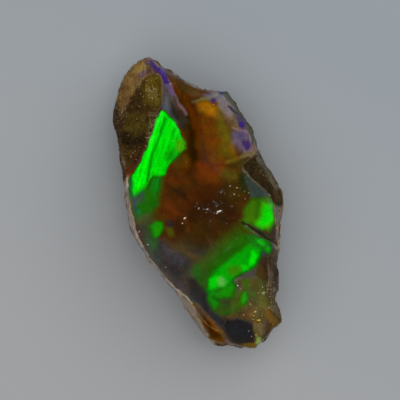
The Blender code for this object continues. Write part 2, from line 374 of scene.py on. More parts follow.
# Body colours: outline, colour, softness of its border, strength
bodyPatches = [
    ("amberWindow", [(-8.9, 7.1), (1.9, 22.3), (8.5, 15.1), (10.0, 1.8), (11.0, -4.1), (6.9, -13.0),
     (5.1, -20.3), (-0.0, -23.3), (-4.0, -19.0), (-9.8, -4.1)], rgb(74, 36, 1), 1.0, 1.0),
    ("leftAmber", [(-5.2, 5.0), (-2.3, 7.5), (0.5, 7.7), (0.6, 4.5), (-1.7, 0.5), (-5.3, -0.6),
     (-6.6, 1.9)], rgb(88, 43, 1), 1.2, 0.9),
    ("redCloud", [(-1.3, 2.9), (0.1, 2.2), (-0.1, 0.6), (-1.6, 1.0)], rgb(88, 32, 2), 0.5, 0.35),
    ("oliveCloud", [(-1.3, 8.5), (0.5, 7.8), (0.2, 6.3), (-1.4, 6.0), (-2.0, 7.1)], rgb(84, 58, 2), 0.5,
     0.75),
    ("oliveDrift", [(-4.1, 4.6), (-1.6, 4.1), (-1.3, 2.4), (-3.1, 1.0), (-5.0, 1.3), (-5.5, 3.1)],
     rgb(70, 46, 4), 0.6, 0.3),
    ("darkHeart", [(-1.7, 0.5), (2.0, 0.7), (5.6, -1.4), (3.8, -6.3), (-1.4, -7.6), (-3.4, -5.3),
     (-5.3, -3.0)], rgb(56, 27, 2), 1.4, 0.9),
    ("oliveRight", [(3.8, 2.5), (6.9, 2.1), (8.1, -1.1), (5.2, -3.6), (3.9, -1.6)], rgb(68, 46, 3), 0.9,
     0.9),
    ("oliveHeart", [(-3.9, -2.3), (-0.3, -2.4), (3.9, -3.9), (4.1, -5.6), (0.5, -6.7), (-2.6, -6.4),
     (-4.8, -4.8)], rgb(66, 42, 4), 0.9, 0.75),
    ("lowBase", [(-11.4, -2.0), (-5.7, -4.0), (-1.6, -5.9), (3.5, -7.0), (8.9, -9.8), (5.3, -20.8),
     (0.4, -24.2), (-4.8, -21.1), (-7.2, -19.0), (-7.3, -17.0), (-10.4, -9.1)], rgb(64, 54, 32), 1.2, 0.95),
    # A dark strip down the valley's steep left wall: painted shade
    ("valleyWallShade", [(2.0, 17.1), (2.2, 14.3), (2.1, 11.9), (0.9, 9.1), (0.4, 6.1), (-0.8, 5.0), (0.2, 3.0),
     (1.8, 5.6), (2.5, 9.3), (3.0, 12.3), (2.9, 15.2)], rgb(30, 18, 0), 0.7, 0.95),
    ("valleyRust", [(2.0, 18.7), (4.8, 16.1), (5.1, 12.4), (4.0, 7.2), (1.8, 5.6), (2.8, 10.0), (2.9, 14.0),
     (2.2, 17.0)], rgb(74, 34, 0), 0.6, 0.95),
    ("amberColumn", [(4.4, 12.7), (6.9, 10.9), (6.7, 7.0), (5.4, 4.7), (2.8, 5.2), (3.4, 9.0)],
     rgb(114, 60, 0), 0.8, 0.95),
    ("oliveColumn", [(6.8, 11.8), (7.9, 9.3), (7.5, 5.5), (6.2, 4.6), (5.3, 5.9), (5.9, 9.3)],
     rgb(112, 84, 2), 0.9, 0.9),
    # A bright orange patch: painted light, the glow where light shines through the stone
    ("orangeGlow", [(4.4, 14.4), (6.1, 14.2), (7.0, 12.9), (6.4, 11.7), (5.4, 12.3), (4.6, 13.2)],
     rgb(180, 106, 0), 0.7, 1.0),
    ("rustGlow", [(1.8, 5.6), (4.4, 5.2), (5.2, 4.0), (3.5, 2.6), (0.9, 3.3), (0.2, 4.6)], rgb(122, 56, 0),
     1.2, 0.85),
    ("limeEdge", [(6.9, 12.9), (7.9, 13.0), (7.2, 9.6), (7.7, 6.6), (6.9, 5.3), (6.6, 9.0)],
     rgb(130, 112, 20), 0.8, 0.75),
    ("beigeVeil", [(8.0, 13.9), (10.0, 12.8), (10.5, 10.8), (9.3, 8.8), (8.3, 9.2), (7.8, 11.0)],
     rgb(116, 96, 64), 0.9, 0.9),
    ("lilacVeil", [(7.5, 13.7), (8.9, 14.5), (9.3, 13.0), (9.5, 11.5), (8.3, 10.7), (7.6, 12.2)],
     rgb(108, 98, 104), 0.5, 0.85),
    ("greyVeil", [(9.2, 12.9), (10.6, 12.2), (10.9, 9.9), (10.1, 8.6), (9.4, 10.0)], rgb(96, 86, 98), 0.6,
     0.85),
    ("violetVeil", [(8.1, 8.7), (10.0, 8.4), (10.6, 7.6), (10.2, 6.1), (9.3, 5.4), (8.1, 5.5), (7.5, 7.1)],
     rgb(84, 72, 92), 0.6, 0.95),
    ("edgeGrey", [(8.9, 6.0), (10.2, 5.8), (10.4, 4.4), (9.3, 4.1), (8.5, 5.2)], rgb(112, 98, 92), 0.3,
     0.85),
    ("cornerVeil", [(6.1, 15.2), (7.3, 15.2), (9.1, 14.7), (9.2, 13.9), (8.0, 13.9), (6.6, 14.4)],
     rgb(104, 106, 122), 0.6, 0.9),
    ("topRim", [(3.9, 18.1), (5.6, 16.6), (7.1, 15.6), (9.0, 14.6), (6.9, 15.9), (5.3, 17.2), (4.2, 18.3)],
     rgb(134, 134, 128), 0.35, 0.7),
    ("topBlush", [(3.4, 17.8), (4.9, 16.4), (6.1, 15.2), (4.6, 15.6), (3.5, 16.9)], rgb(104, 72, 70), 0.5,
     0.4),
    ("tipBrown", [(2.4, 20.1), (2.9, 19.5), (4.2, 17.5), (5.5, 15.9), (4.8, 15.5), (3.1, 16.9), (2.3, 18.2),
     (2.0, 19.3)], rgb(72, 54, 18), 0.4, 0.85),
    ("shoulder", [(0.9, 20.4), (1.6, 19.8), (1.7, 18.1), (1.4, 15.9), (1.7, 14.4), (2.2, 12.4), (1.2, 11.9),
     (-0.0, 13.2), (-0.4, 14.9), (-0.5, 15.8), (0.5, 18.3)], rgb(72, 70, 72), 0.25, 0.95),
    ("shoulderTeal", [(-0.4, 16.3), (0.3, 16.0), (0.4, 14.8), (-0.3, 15.1), (-0.7, 15.5)], rgb(58, 72, 84),
     0.3, 0.8),
    ("shoulderShade", [(0.9, 16.3), (1.4, 15.3), (2.0, 14.1), (2.5, 12.2), (1.6, 10.9), (0.8, 12.0),
     (0.4, 14.2)], rgb(36, 28, 14), 0.45, 0.9),
    ("underLedge", [(5.4, 4.4), (8.1, 4.5), (9.4, 4.0), (7.7, 2.5), (8.3, 1.1), (7.4, 1.9), (6.6, 3.2)],
     rgb(72, 58, 8), 0.3, 0.9),
    ("oliveSpot", [(4.7, 4.2), (6.5, 3.2), (6.8, 1.7), (5.1, 1.7), (4.1, 3.1)], rgb(106, 82, 4), 0.5, 0.85),
    ("tealFacet", [(7.4, 2.3), (8.3, 1.0), (9.1, -0.7), (10.1, -2.2), (9.5, -2.4), (7.3, -1.6), (7.3, 0.0)],
     rgb(50, 64, 60), 0.3, 0.95),
    ("tealShade", [(6.5, 2.4), (7.5, 2.2), (7.3, -0.2), (7.2, -1.5), (6.3, -0.4)], rgb(34, 42, 8), 0.4,
     0.85),
    ("maroonSliver", [(9.3, -5.9), (9.2, -7.8), (8.8, -8.9), (7.9, -7.8), (8.3, -7.1)], rgb(56, 44, 44),
     0.18, 0.9),
    ("crackFill", [(4.6, -4.5), (6.5, -6.2), (8.2, -8.3), (8.7, -9.5), (8.4, -10.0), (6.9, -8.4),
     (5.8, -6.8), (4.9, -5.3)], rgb(74, 62, 48), 0.18, 0.95),
    ("smokeVeil", [(-10.1, -1.0), (-8.8, -1.3), (-7.3, -2.9), (-6.1, -4.5), (-4.7, -6.3), (-4.4, -7.8),
     (-4.6, -10.6), (-4.2, -14.9), (-3.5, -17.6), (-3.8, -18.3), (-6.4, -13.2), (-7.9, -10.0),
     (-9.7, -5.0)], rgb(54, 50, 50), 0.6, 0.95),
    ("smokeLilac", [(-7.6, -3.6), (-5.9, -5.2), (-5.3, -6.7), (-6.1, -7.8), (-7.3, -6.8), (-8.0, -5.1)],
     rgb(70, 61, 66), 0.5, 0.8),
    ("smokeNavy", [(-6.9, -5.7), (-6.0, -6.4), (-6.0, -8.7), (-6.7, -9.5), (-7.4, -8.2), (-7.7, -6.6)],
     rgb(46, 47, 54), 0.4, 0.7),
    ("smokeOlive", [(-6.7, -7.8), (-4.6, -8.2), (-4.8, -11.0), (-5.9, -11.8), (-6.8, -9.8)],
     rgb(66, 58, 44), 0.5, 0.7),
    ("darkBlob", [(-5.9, -0.4), (-4.8, -0.9), (-5.1, -1.8), (-6.0, -1.7)], rgb(34, 34, 40), 0.3, 0.8),
    ("smokeDark", [(-6.0, -9.8), (-4.6, -10.1), (-3.6, -12.6), (-3.7, -15.3), (-3.3, -17.6), (-4.4, -17.2),
     (-5.1, -14.2), (-6.1, -11.7)], rgb(37, 38, 37), 0.4, 0.9),
    ("smokeGreen", [(-10.0, -1.7), (-9.0, -2.5), (-8.2, -4.8), (-9.0, -5.7), (-9.9, -3.8)], rgb(54, 64, 56),
     0.35, 0.85),
    ("leftSmoke", [(-10.3, 0.5), (-8.6, 0.3), (-8.8, -1.3), (-9.1, -2.8), (-10.3, -2.2), (-10.6, -0.6)],
     rgb(56, 52, 50), 0.3, 0.85),
    ("brownHaze", [(-7.3, -2.7), (-5.1, -4.5), (-2.7, -7.4), (-2.9, -8.2), (-5.1, -6.3), (-6.9, -4.5)],
     rgb(86, 66, 34), 0.5, 0.7),
    ("darkHollow", [(-4.1, -5.7), (-2.2, -6.2), (-1.5, -7.1), (-2.7, -7.6), (-4.0, -6.7)], rgb(52, 46, 40),
     0.4, 0.75),
    ("lowGround", [(1.8, -11.8), (4.8, -11.6), (4.5, -14.1), (4.2, -18.6), (0.5, -17.9), (-1.6, -17.1),
     (-0.3, -14.0), (0.9, -12.5)], rgb(84, 80, 34), 0.5, 0.95),
    ("lowMauve", [(0.7, -13.0), (1.6, -13.2), (0.8, -15.0), (-0.2, -15.0)], rgb(80, 66, 60), 0.3, 0.8),
    ("greyChip", [(1.7, -12.0), (3.3, -11.8), (4.4, -11.9), (3.9, -13.2), (2.8, -12.7), (1.7, -12.4)],
     rgb(70, 62, 64), 0.3, 0.9),
    ("greyArc", [(0.1, -12.3), (1.5, -12.0), (1.7, -12.4), (0.5, -13.0)], rgb(84, 90, 80), 0.3, 0.7),
    ("brownFacet", [(4.5, -11.6), (5.9, -10.8), (7.0, -10.9), (5.9, -14.1), (5.1, -14.5), (4.4, -13.7),
     (4.0, -12.9)], rgb(58, 45, 20), 0.3, 0.95),
    ("brownFacetShade", [(5.5, -11.4), (6.4, -11.3), (5.8, -13.9), (5.1, -14.0)], rgb(46, 36, 22), 0.3,
     0.8),
    ("tealGap", [(6.1, -9.0), (7.0, -9.3), (6.7, -10.3), (5.9, -10.5), (5.4, -10.0)], rgb(50, 62, 70), 0.22,
     0.9),
    ("oliveGround", [(-2.4, -17.3), (-0.5, -16.5), (2.5, -16.9), (4.3, -18.2), (2.8, -20.4), (1.1, -19.5),
     (0.9, -18.9)], rgb(90, 74, 36), 0.4, 0.95),
    ("navySlab", [(-2.5, -17.6), (-0.8, -18.0), (0.8, -19.2), (1.2, -20.0), (0.5, -21.3), (0.1, -22.2),
     (-1.5, -21.8), (-2.8, -21.0), (-3.2, -19.5), (-3.2, -18.2)], rgb(33, 33, 37), 0.2, 1.0),
    ("navyStrip", [(-6.4, -11.6), (-5.3, -12.4), (-4.2, -14.4), (-3.7, -16.0), (-2.7, -17.6), (-3.3, -18.6),
     (-4.3, -17.0), (-5.4, -14.4), (-6.1, -12.8)], rgb(42, 42, 46), 0.2, 0.95),
    ("oliveSliver", [(1.1, -19.3), (2.5, -20.0), (1.8, -21.6), (0.9, -21.5), (0.7, -20.7)], rgb(98, 88, 52),
     0.15, 0.9),
    ("greySliver", [(2.7, -19.3), (3.2, -19.7), (2.8, -21.3), (2.0, -21.9), (2.0, -21.0)], rgb(78, 76, 66),
     0.2, 0.9),
    ("amberFacet", [(3.0, -18.1), (4.2, -18.4), (4.4, -19.4), (5.1, -20.4), (3.5, -21.1), (3.3, -19.7)],
     rgb(98, 76, 18), 0.25, 0.95),
    ("amberFacetDark", [(3.1, -19.9), (3.8, -20.6), (3.2, -21.3), (2.1, -21.9), (2.3, -21.1)],
     rgb(74, 54, 28), 0.25, 0.9),
    ("redTip", [(4.6, -19.7), (5.2, -20.4), (4.5, -20.7), (4.3, -20.2)], rgb(80, 56, 14), 0.15, 0.8),
    ("bottomGold", [(-1.5, -21.8), (0.1, -22.1), (0.7, -23.0), (0.2, -23.5), (-1.0, -22.7)],
     rgb(126, 90, 12), 0.2, 0.9),
    ("limeChip", [(0.3, -22.3), (1.0, -21.5), (1.5, -22.0), (1.1, -22.8), (0.6, -22.8)], rgb(128, 148, 68),
     0.25, 0.95),
    ("footAmber", [(-6.8, -12.9), (-6.2, -13.2), (-5.4, -14.6), (-4.4, -17.0), (-3.6, -18.9), (-3.3, -20.9),
     (-4.3, -20.8), (-5.6, -19.4), (-5.8, -18.1), (-6.2, -16.0), (-6.1, -14.6)], rgb(92, 54, 0), 0.3, 0.95),
    ("footRed", [(-5.8, -16.1), (-4.8, -17.8), (-4.3, -19.6), (-5.1, -19.7), (-5.7, -18.4)], rgb(70, 28, 0),
     0.35, 0.85),
    ("footOlive", [(-6.7, -13.1), (-5.9, -13.6), (-5.2, -15.2), (-4.3, -17.6), (-3.7, -19.0), (-3.7, -20.2),
     (-4.7, -17.6), (-5.7, -15.4)], rgb(104, 76, 18), 0.2, 0.7),
    ("footPale", [(-7.7, -11.6), (-6.9, -13.0), (-6.2, -14.4), (-6.4, -15.7), (-5.8, -17.9), (-5.7, -18.8),
     (-6.2, -19.2), (-7.1, -17.3), (-7.4, -13.9), (-7.9, -12.2)], rgb(124, 112, 100), 0.25, 0.95),
]
# Thin marks over the body: line, colour, half width, softness, strength
bodyLines = [
    ("sharpRidge", [(0.1, 23.4), (0.9, 21.7), (1.5, 20.2), (1.8, 18.6), (1.8, 17.0), (1.9, 15.5),
     (2.4, 13.5)], rgb(118, 106, 118), 0.02, 0.3, 0.45),
    ("ridgeViolet", [(-0.4, 22.9), (0.2, 22.1), (1.0, 20.8), (1.3, 19.6), (1.5, 18.4), (1.5, 17.1)],
     rgb(88, 68, 108), 0.12, 0.4, 0.85),
    ("ledge", [(5.6, 4.6), (7.6, 4.6), (9.6, 4.7)], rgb(118, 94, 16), 0.12, 0.34, 0.9),
    ("ledgeWide", [(8.2, 4.6), (9.9, 4.6)], rgb(108, 94, 64), 0.16, 0.34, 0.85),
    ("veilLine", [(10.1, 8.2), (10.4, 7.4), (10.2, 6.6), (9.9, 5.9)], rgb(126, 116, 124), 0.04, 0.2, 0.6),
    ("veilCrest", [(8.3, 9.3), (9.2, 8.5), (10.1, 8.1)], rgb(112, 102, 104), 0.03, 0.2, 0.5),
    ("veilGroove", [(8.8, 12.4), (9.4, 11.4), (10.2, 10.5), (10.4, 9.6)], rgb(40, 30, 58), 0.07, 0.24, 0.9),
    ("cornerLine", [(4.0, 14.9), (5.4, 14.8), (6.8, 14.6), (8.2, 14.6)], rgb(122, 116, 76), 0.04, 0.3,
     0.55),
    ("farEdge", [(9.0, 14.9), (9.6, 12.9), (10.3, 10.6), (10.6, 8.5), (10.8, 6.4), (11.1, 4.2)],
     rgb(74, 76, 64), 0.26, 0.35, 1.0),
    ("wedgeLine", [(7.5, 2.8), (8.3, 1.1), (9.1, -0.6), (10.1, -2.2), (10.1, -3.8), (9.6, -5.5)],
     rgb(104, 104, 90), 0.0, 0.14, 0.55),
    ("crackUpper", [(4.6, -4.4), (5.8, -5.8), (6.9, -7.2), (8.0, -8.7), (8.5, -9.6)], rgb(34, 24, 16), 0.05,
     0.16, 0.95),
    ("crackLip", [(5.0, -5.2), (5.6, -6.4), (6.4, -7.6), (7.4, -8.8), (8.4, -10.2)], rgb(116, 112, 104),
     0.0, 0.13, 0.7),
    ("crackLower", [(5.9, -7.6), (7.1, -8.9), (8.1, -10.2)], rgb(40, 48, 50), 0.05, 0.15, 0.8),
    ("spotLine", [(7.7, -2.0), (7.0, -3.7), (6.4, -6.0)], rgb(40, 60, 8), 0.05, 0.2, 0.8),
    ("frontRim", [(-9.2, 7.5), (-9.8, 5.6), (-10.3, 3.4), (-10.5, 1.2), (-10.8, -0.6), (-10.6, -2.9),
     (-10.1, -5.1), (-9.4, -7.5), (-8.2, -10.2), (-7.2, -11.9), (-6.5, -13.5)], rgb(156, 148, 140), 0.05,
     0.14, 0.95),
    ("footEdge", [(-7.5, -11.0), (-6.7, -12.9), (-6.2, -14.9), (-5.4, -17.3), (-4.3, -18.7)],
     rgb(140, 118, 72), 0.03, 0.14, 0.6),
    ("footStreakLow", [(-5.9, -17.5), (-5.4, -19.4), (-4.8, -20.7)], rgb(58, 30, 4), 0.08, 0.3, 0.6),
    ("footStreak", [(-5.8, -14.8), (-5.3, -16.7), (-5.1, -19.2)], rgb(52, 26, 3), 0.1, 0.3, 0.6),
    ("rustWisp", [(-5.3, 2.6), (-4.4, 0.7), (-3.0, -1.0), (-3.3, -2.9)], rgb(104, 52, 6), 0.06, 0.45, 0.5),
    ("amberWispRight", [(3.9, 12.0), (3.2, 9.1), (2.9, 6.4), (3.3, 4.3)], rgb(76, 38, 2), 0.1, 0.5, 0.5),
    ("amberWispLower", [(-2.2, 2.3), (-1.3, 0.3), (0.6, -0.9), (2.5, -3.4)], rgb(48, 26, 4), 0.1, 0.5,
     0.45),
    ("amberWispUpper", [(-4.1, 5.4), (-3.6, 3.9), (-2.4, 2.7), (-1.9, 1.2)], rgb(52, 26, 4), 0.1, 0.5, 0.5),
    ("hollowEdge", [(-4.4, 11.1), (-2.9, 13.0), (-1.5, 15.2), (-0.5, 16.0), (0.3, 18.0), (0.8, 19.9),
     (0.5, 20.7), (-0.4, 20.9)], rgb(124, 110, 70), 0.0, 0.14, 0.4),
    ("tipLine", [(1.8, 20.8), (3.2, 19.6), (4.9, 17.7), (7.1, 15.8)], rgb(104, 100, 82), 0.03, 0.35, 0.35),
]
# Flashes of colour from inside the stone, which shine by themselves
flashPatches = [
    ("kite", [(-0.8, 15.2), (-0.3, 14.8), (0.2, 13.5), (0.6, 11.5), (0.6, 9.8), (0.2, 8.9), (-0.7, 8.2),
     (-1.6, 7.9), (-2.7, 7.2), (-3.6, 6.1), (-4.5, 6.1), (-5.4, 6.6), (-6.2, 6.0), (-7.0, 5.1), (-7.9, 4.6),
     (-9.1, 4.1), (-9.2, 6.0), (-8.1, 7.7), (-6.3, 9.2), (-4.8, 10.7), (-3.3, 12.5), (-2.0, 14.4)],
     rgb(0, 222, 4), 0.18, 1.0),
    ("kiteStrip", [(-0.8, 15.2), (-0.6, 14.6), (-1.8, 13.2), (-3.2, 11.3), (-4.7, 9.5), (-5.9, 7.5),
     (-7.0, 5.4), (-7.9, 4.7), (-9.1, 4.2), (-9.2, 6.0), (-8.1, 7.7), (-6.3, 9.2), (-4.8, 10.7),
     (-3.3, 12.5)], rgb(0, 244, 4), 0.15, 0.95),
    ("kiteOlive", [(-0.2, 10.3), (0.7, 10.4), (0.7, 8.7), (-0.3, 8.3), (-1.0, 9.0)], rgb(64, 156, 0), 0.3,
     0.9),
    ("kiteEdge", [(-9.1, 8.0), (-8.2, 8.2), (-8.6, 6.2), (-9.7, 4.0), (-10.0, 4.7)], rgb(24, 100, 38), 0.25,
     0.85),
    ("kiteCorner", [(-2.6, 9.1), (-1.0, 9.3), (-0.4, 8.3), (-1.5, 7.5), (-2.9, 7.7)], rgb(12, 118, 4), 0.5,
     0.7),
    ("underKite", [(-6.6, 5.5), (-5.3, 6.5), (-4.1, 5.8), (-5.1, 4.1), (-6.2, 2.1), (-8.0, 0.8),
     (-9.5, 1.0), (-10.1, 1.6), (-9.9, 3.5), (-9.4, 4.7), (-8.4, 5.1)], rgb(28, 102, 4), 0.8, 0.95),
    ("underKiteBright", [(-5.4, 6.2), (-4.5, 5.9), (-5.4, 4.2), (-6.3, 3.8), (-6.2, 4.9)], rgb(4, 128, 20),
     0.4, 0.8),
    ("underKiteTeal", [(-9.3, 4.7), (-7.6, 4.9), (-7.8, 3.5), (-9.1, 3.2), (-9.6, 3.4)], rgb(40, 78, 56),
     0.35, 0.9),
    ("underKiteLow", [(-9.8, 2.7), (-8.8, 2.3), (-9.2, 0.8), (-10.0, 0.8)], rgb(30, 110, 44), 0.35, 0.8),
    ("leftHaze", [(-9.6, 1.7), (-6.7, 1.5), (-5.7, -0.3), (-6.7, -2.5), (-9.5, -1.2)], rgb(30, 58, 4), 0.6,
     0.55),
    ("leftSpot", [(-8.6, -0.4), (-7.4, -0.1), (-6.6, -0.5), (-6.5, -1.0), (-7.2, -2.0), (-8.3, -2.4),
     (-8.8, -1.9)], rgb(26, 140, 1), 0.32, 1.0),
    ("leftSpotHalo", [(-9.3, -0.7), (-8.2, -0.3), (-8.6, -2.6), (-9.5, -3.4), (-10.0, -2.5)],
     rgb(24, 70, 20), 0.5, 0.8),
    ("spotVeil", [(-10.1, 1.7), (-7.8, 1.5), (-7.7, -0.0), (-9.9, -0.2)], rgb(54, 80, 46), 0.7, 0.65),
    ("leftSpotTail", [(-9.1, -2.4), (-7.8, -2.7), (-8.5, -3.8), (-9.4, -4.3)], rgb(30, 84, 22), 0.45, 0.8),
    ("leftOlive", [(-6.3, -1.4), (-5.3, -1.8), (-5.4, -3.1), (-6.5, -2.9)], rgb(74, 82, 6), 0.35, 0.75),
    ("rightSpot", [(7.3, -1.8), (10.0, -2.5), (10.0, -3.8), (9.6, -5.5), (8.9, -6.7), (8.1, -7.4),
     (7.0, -6.4), (4.8, -4.5), (5.6, -3.2), (6.5, -2.3)], rgb(60, 108, 2), 0.6, 1.0),
    ("rightSpotDark", [(7.8, -2.1), (8.5, -2.2), (8.2, -3.6), (6.8, -5.3), (6.9, -4.1)], rgb(20, 84, 2),
     0.4, 0.5),
    ("rightSpotBright", [(8.9, -3.2), (9.6, -3.7), (9.8, -4.6), (9.3, -5.9), (8.5, -6.4), (7.4, -6.4),
     (6.8, -5.7), (7.8, -4.9), (8.3, -4.0)], rgb(0, 222, 0), 0.8, 1.0),
    ("rightSpotRim", [(8.1, -2.2), (9.8, -2.6), (10.0, -3.4), (8.9, -3.0)], rgb(42, 104, 14), 0.25, 0.6),
    ("rightSpotCorner", [(4.4, -4.1), (5.5, -4.9), (6.3, -6.5), (5.4, -6.4), (4.6, -5.2)], rgb(44, 122, 6),
     0.3, 0.9),
    ("bandHaze", [(4.4, -4.7), (5.8, -7.4), (7.1, -8.1), (6.1, -8.8), (3.2, -8.1), (-0.2, -8.5),
     (-2.2, -9.7), (-4.6, -9.6), (-4.8, -8.7), (-3.6, -8.0), (-1.2, -6.9), (1.7, -5.5)], rgb(38, 78, 0),
     1.0, 0.95),
    ("bandDim", [(3.8, -6.3), (5.8, -7.4), (6.5, -8.9), (2.6, -9.5), (-1.2, -10.1), (-3.3, -11.7),
     (-4.1, -10.6), (-2.0, -9.0), (1.1, -7.3)], rgb(32, 102, 2), 0.9, 0.85),
    ("band", [(-3.7, -12.4), (-3.2, -11.6), (-2.2, -10.5), (-0.9, -9.8), (0.7, -9.4), (2.6, -8.7),
     (4.4, -8.2), (5.6, -7.6), (6.5, -7.8), (7.2, -8.7), (7.6, -9.8), (6.9, -10.3), (6.3, -9.3),
     (5.7, -10.1), (4.9, -11.0), (4.2, -11.5), (2.8, -11.7), (1.6, -11.7), (0.3, -12.2), (-1.0, -13.1),
     (-2.6, -12.9)], rgb(4, 156, 2), 0.45, 1.0),
    ("bandShade", [(4.7, -6.7), (6.6, -7.4), (7.7, -9.2), (6.2, -9.6), (4.7, -8.6)], rgb(22, 104, 12), 0.4,
     0.8),
    ("bandOlive", [(0.5, -10.3), (2.1, -10.6), (2.1, -11.4), (1.0, -11.7), (0.2, -11.2)], rgb(60, 122, 4),
     0.5, 0.85),
    ("bandEyeRight", [(3.9, -10.1), (4.8, -9.3), (5.2, -10.0), (4.5, -11.0), (3.7, -11.0)], rgb(0, 232, 2),
     0.35, 1.0),
    ("bandEyeMid", [(2.4, -10.5), (3.1, -10.8), (3.2, -11.5), (2.4, -11.5)], rgb(4, 206, 2), 0.3, 0.9),
    ("bandCorner", [(5.9, -7.7), (6.6, -8.0), (6.9, -8.9), (6.4, -8.9), (6.0, -8.3)], rgb(4, 180, 6), 0.25,
     0.9),
    ("bandEyeLeft", [(-3.4, -12.2), (-2.7, -11.0), (-1.8, -10.8), (-0.9, -11.1), (-1.7, -11.8),
     (-2.4, -12.6)], rgb(2, 204, 2), 0.4, 1.0),
    ("limeSpot", [(-1.6, -11.4), (-0.9, -11.3), (-0.6, -12.1), (-1.1, -12.7), (-1.8, -12.3)],
     rgb(96, 178, 76), 0.35, 0.8),
    ("faintPatch", [(-4.9, -9.1), (-4.0, -8.2), (-3.2, -8.9), (-3.2, -10.1), (-4.1, -11.2), (-4.7, -10.2)],
     rgb(26, 88, 14), 0.5, 0.9),
    ("faintLow", [(-4.5, -10.7), (-2.9, -10.2), (-3.4, -12.3), (-4.2, -12.2)], rgb(22, 80, 10), 0.5, 0.8),
    ("lowGreen", [(-3.3, -13.1), (-2.3, -13.0), (-0.1, -13.4), (0.5, -14.9), (-0.5, -16.2), (-2.0, -16.8),
     (-3.4, -16.1), (-3.9, -14.7), (-3.8, -13.7)], rgb(24, 102, 6), 0.6, 0.95),
    ("lowGlow", [(-3.9, -13.4), (-2.5, -12.8), (0.4, -13.3), (1.6, -15.1), (1.2, -16.5), (-0.7, -17.0),
     (-2.7, -16.7), (-3.9, -15.4)], rgb(32, 84, 4), 0.5, 0.85),
    ("tealFlash", [(-3.6, -12.6), (-2.6, -12.6), (-2.1, -13.6), (-2.6, -14.5), (-3.4, -15.2),
     (-3.8, -14.1)], rgb(16, 140, 12), 0.7, 0.85),
    ("tealHeart", [(-2.1, -14.3), (-0.5, -14.6), (-0.4, -15.6), (-1.6, -15.8), (-2.4, -15.2)],
     rgb(30, 64, 22), 0.5, 0.75),
    ("lowOlive", [(-0.5, -14.5), (1.0, -14.1), (1.6, -15.3), (0.3, -16.7), (-1.0, -15.9)], rgb(58, 84, 4),
     0.5, 0.6),
    ("lowGreenUpper", [(-1.2, -12.7), (0.2, -12.5), (0.6, -13.3), (-0.8, -14.4), (-2.0, -14.0),
     (-2.2, -13.3)], rgb(20, 148, 4), 0.5, 0.85),
    ("oliveDrift", [(1.8, -12.6), (2.9, -12.9), (2.5, -14.3), (1.7, -14.7), (1.6, -13.7)], rgb(56, 96, 6),
     0.3, 0.8),
    ("greenDrop", [(1.3, -14.6), (1.8, -14.7), (1.6, -15.7), (1.0, -16.3), (0.5, -16.2), (0.5, -15.6)],
     rgb(30, 146, 2), 0.45, 0.95),
    ("oliveDrop", [(2.3, -14.9), (2.9, -15.1), (2.8, -15.8), (2.2, -15.7)], rgb(60, 106, 4), 0.3, 0.7),
    ("violetTip", [(-0.6, 23.2), (0.2, 23.0), (0.8, 21.8), (1.4, 20.8), (1.5, 20.0), (1.0, 20.3),
     (0.5, 21.0), (-0.1, 21.7), (-0.7, 22.5)], rgb(74, 50, 130), 0.3, 0.7),
    ("violetRidge", [(0.9, 21.2), (1.4, 20.9), (1.7, 20.2), (1.7, 19.5), (1.5, 18.8), (1.2, 18.9),
     (1.1, 19.7), (0.8, 20.5)], rgb(76, 46, 138), 0.35, 0.75),
    ("violetTop", [(7.37, 14.10), (7.26, 14.31), (7.10, 14.45), (6.88, 14.44), (6.79, 14.22), (6.79, 13.99),
     (6.87, 13.72), (7.09, 13.81), (7.29, 13.86)], rgb(84, 64, 132), 0.35, 0.55),
    ("violetCorner", [(8.1, 15.2), (8.9, 14.8), (8.9, 14.4), (8.1, 14.6)], rgb(74, 70, 120), 0.3, 0.6),
    ("violetDot", [(10.05, 9.10), (9.95, 9.33), (9.77, 9.38), (9.56, 9.38), (9.44, 9.20), (9.47, 9.00),
     (9.58, 8.84), (9.80, 8.76), (9.95, 8.92)], rgb(66, 4, 190), 0.2, 1.0),
    ("violetHalo", [(9.3, 11.0), (10.3, 10.3), (10.5, 8.9), (10.1, 8.2), (9.3, 8.6), (9.2, 9.8)],
     rgb(58, 42, 96), 0.4, 0.6),
    ("violetMid", [(9.65, 7.70), (9.49, 8.12), (9.08, 8.19), (8.64, 8.34), (8.47, 7.90), (8.47, 7.50),
     (8.68, 7.14), (9.11, 7.05), (9.40, 7.36)], rgb(62, 46, 100), 0.5, 0.42),
    ("violetLow", [(9.91, 6.00), (9.79, 6.42), (9.49, 6.50), (9.14, 6.65), (9.03, 6.19), (9.02, 5.80),
     (9.16, 5.39), (9.50, 5.43), (9.75, 5.62)], rgb(82, 52, 128), 0.6, 0.8),
    ("skyEdge", [(-9.5, 4.7), (-9.0, 4.1), (-9.5, 2.3), (-9.9, 2.4), (-9.7, 3.6)], rgb(38, 60, 92), 0.2,
     0.7),
]
# Streaks and dark lines that cut through the flashes: line, half width, softness, strength
flashLines = [
    ("kiteStreak", [(-0.7, 14.0), (-1.8, 12.5), (-3.1, 11.0), (-4.7, 9.2), (-5.7, 7.5), (-6.6, 6.1)], 0.08,
     0.30, 0.6),
    ("kiteFaintStreak", [(0.1, 12.0), (-1.1, 9.9), (-2.3, 8.3), (-3.5, 6.7)], 0.06, 0.30, 0.22),
    ("crackShade", [(4.7, -4.6), (6.0, -6.3), (7.1, -7.9), (7.9, -8.9), (8.6, -9.9)], 0.16, 0.26, 0.95),
    ("lowWisp", [(-3.2, -13.7), (-2.2, -14.8), (-1.0, -15.4), (0.3, -15.1)], 0.1, 0.4, 0.45),
    ("lowWispUnder", [(-3.2, -15.9), (-1.9, -15.9), (-0.9, -16.4)], 0.08, 0.4, 0.4),
]
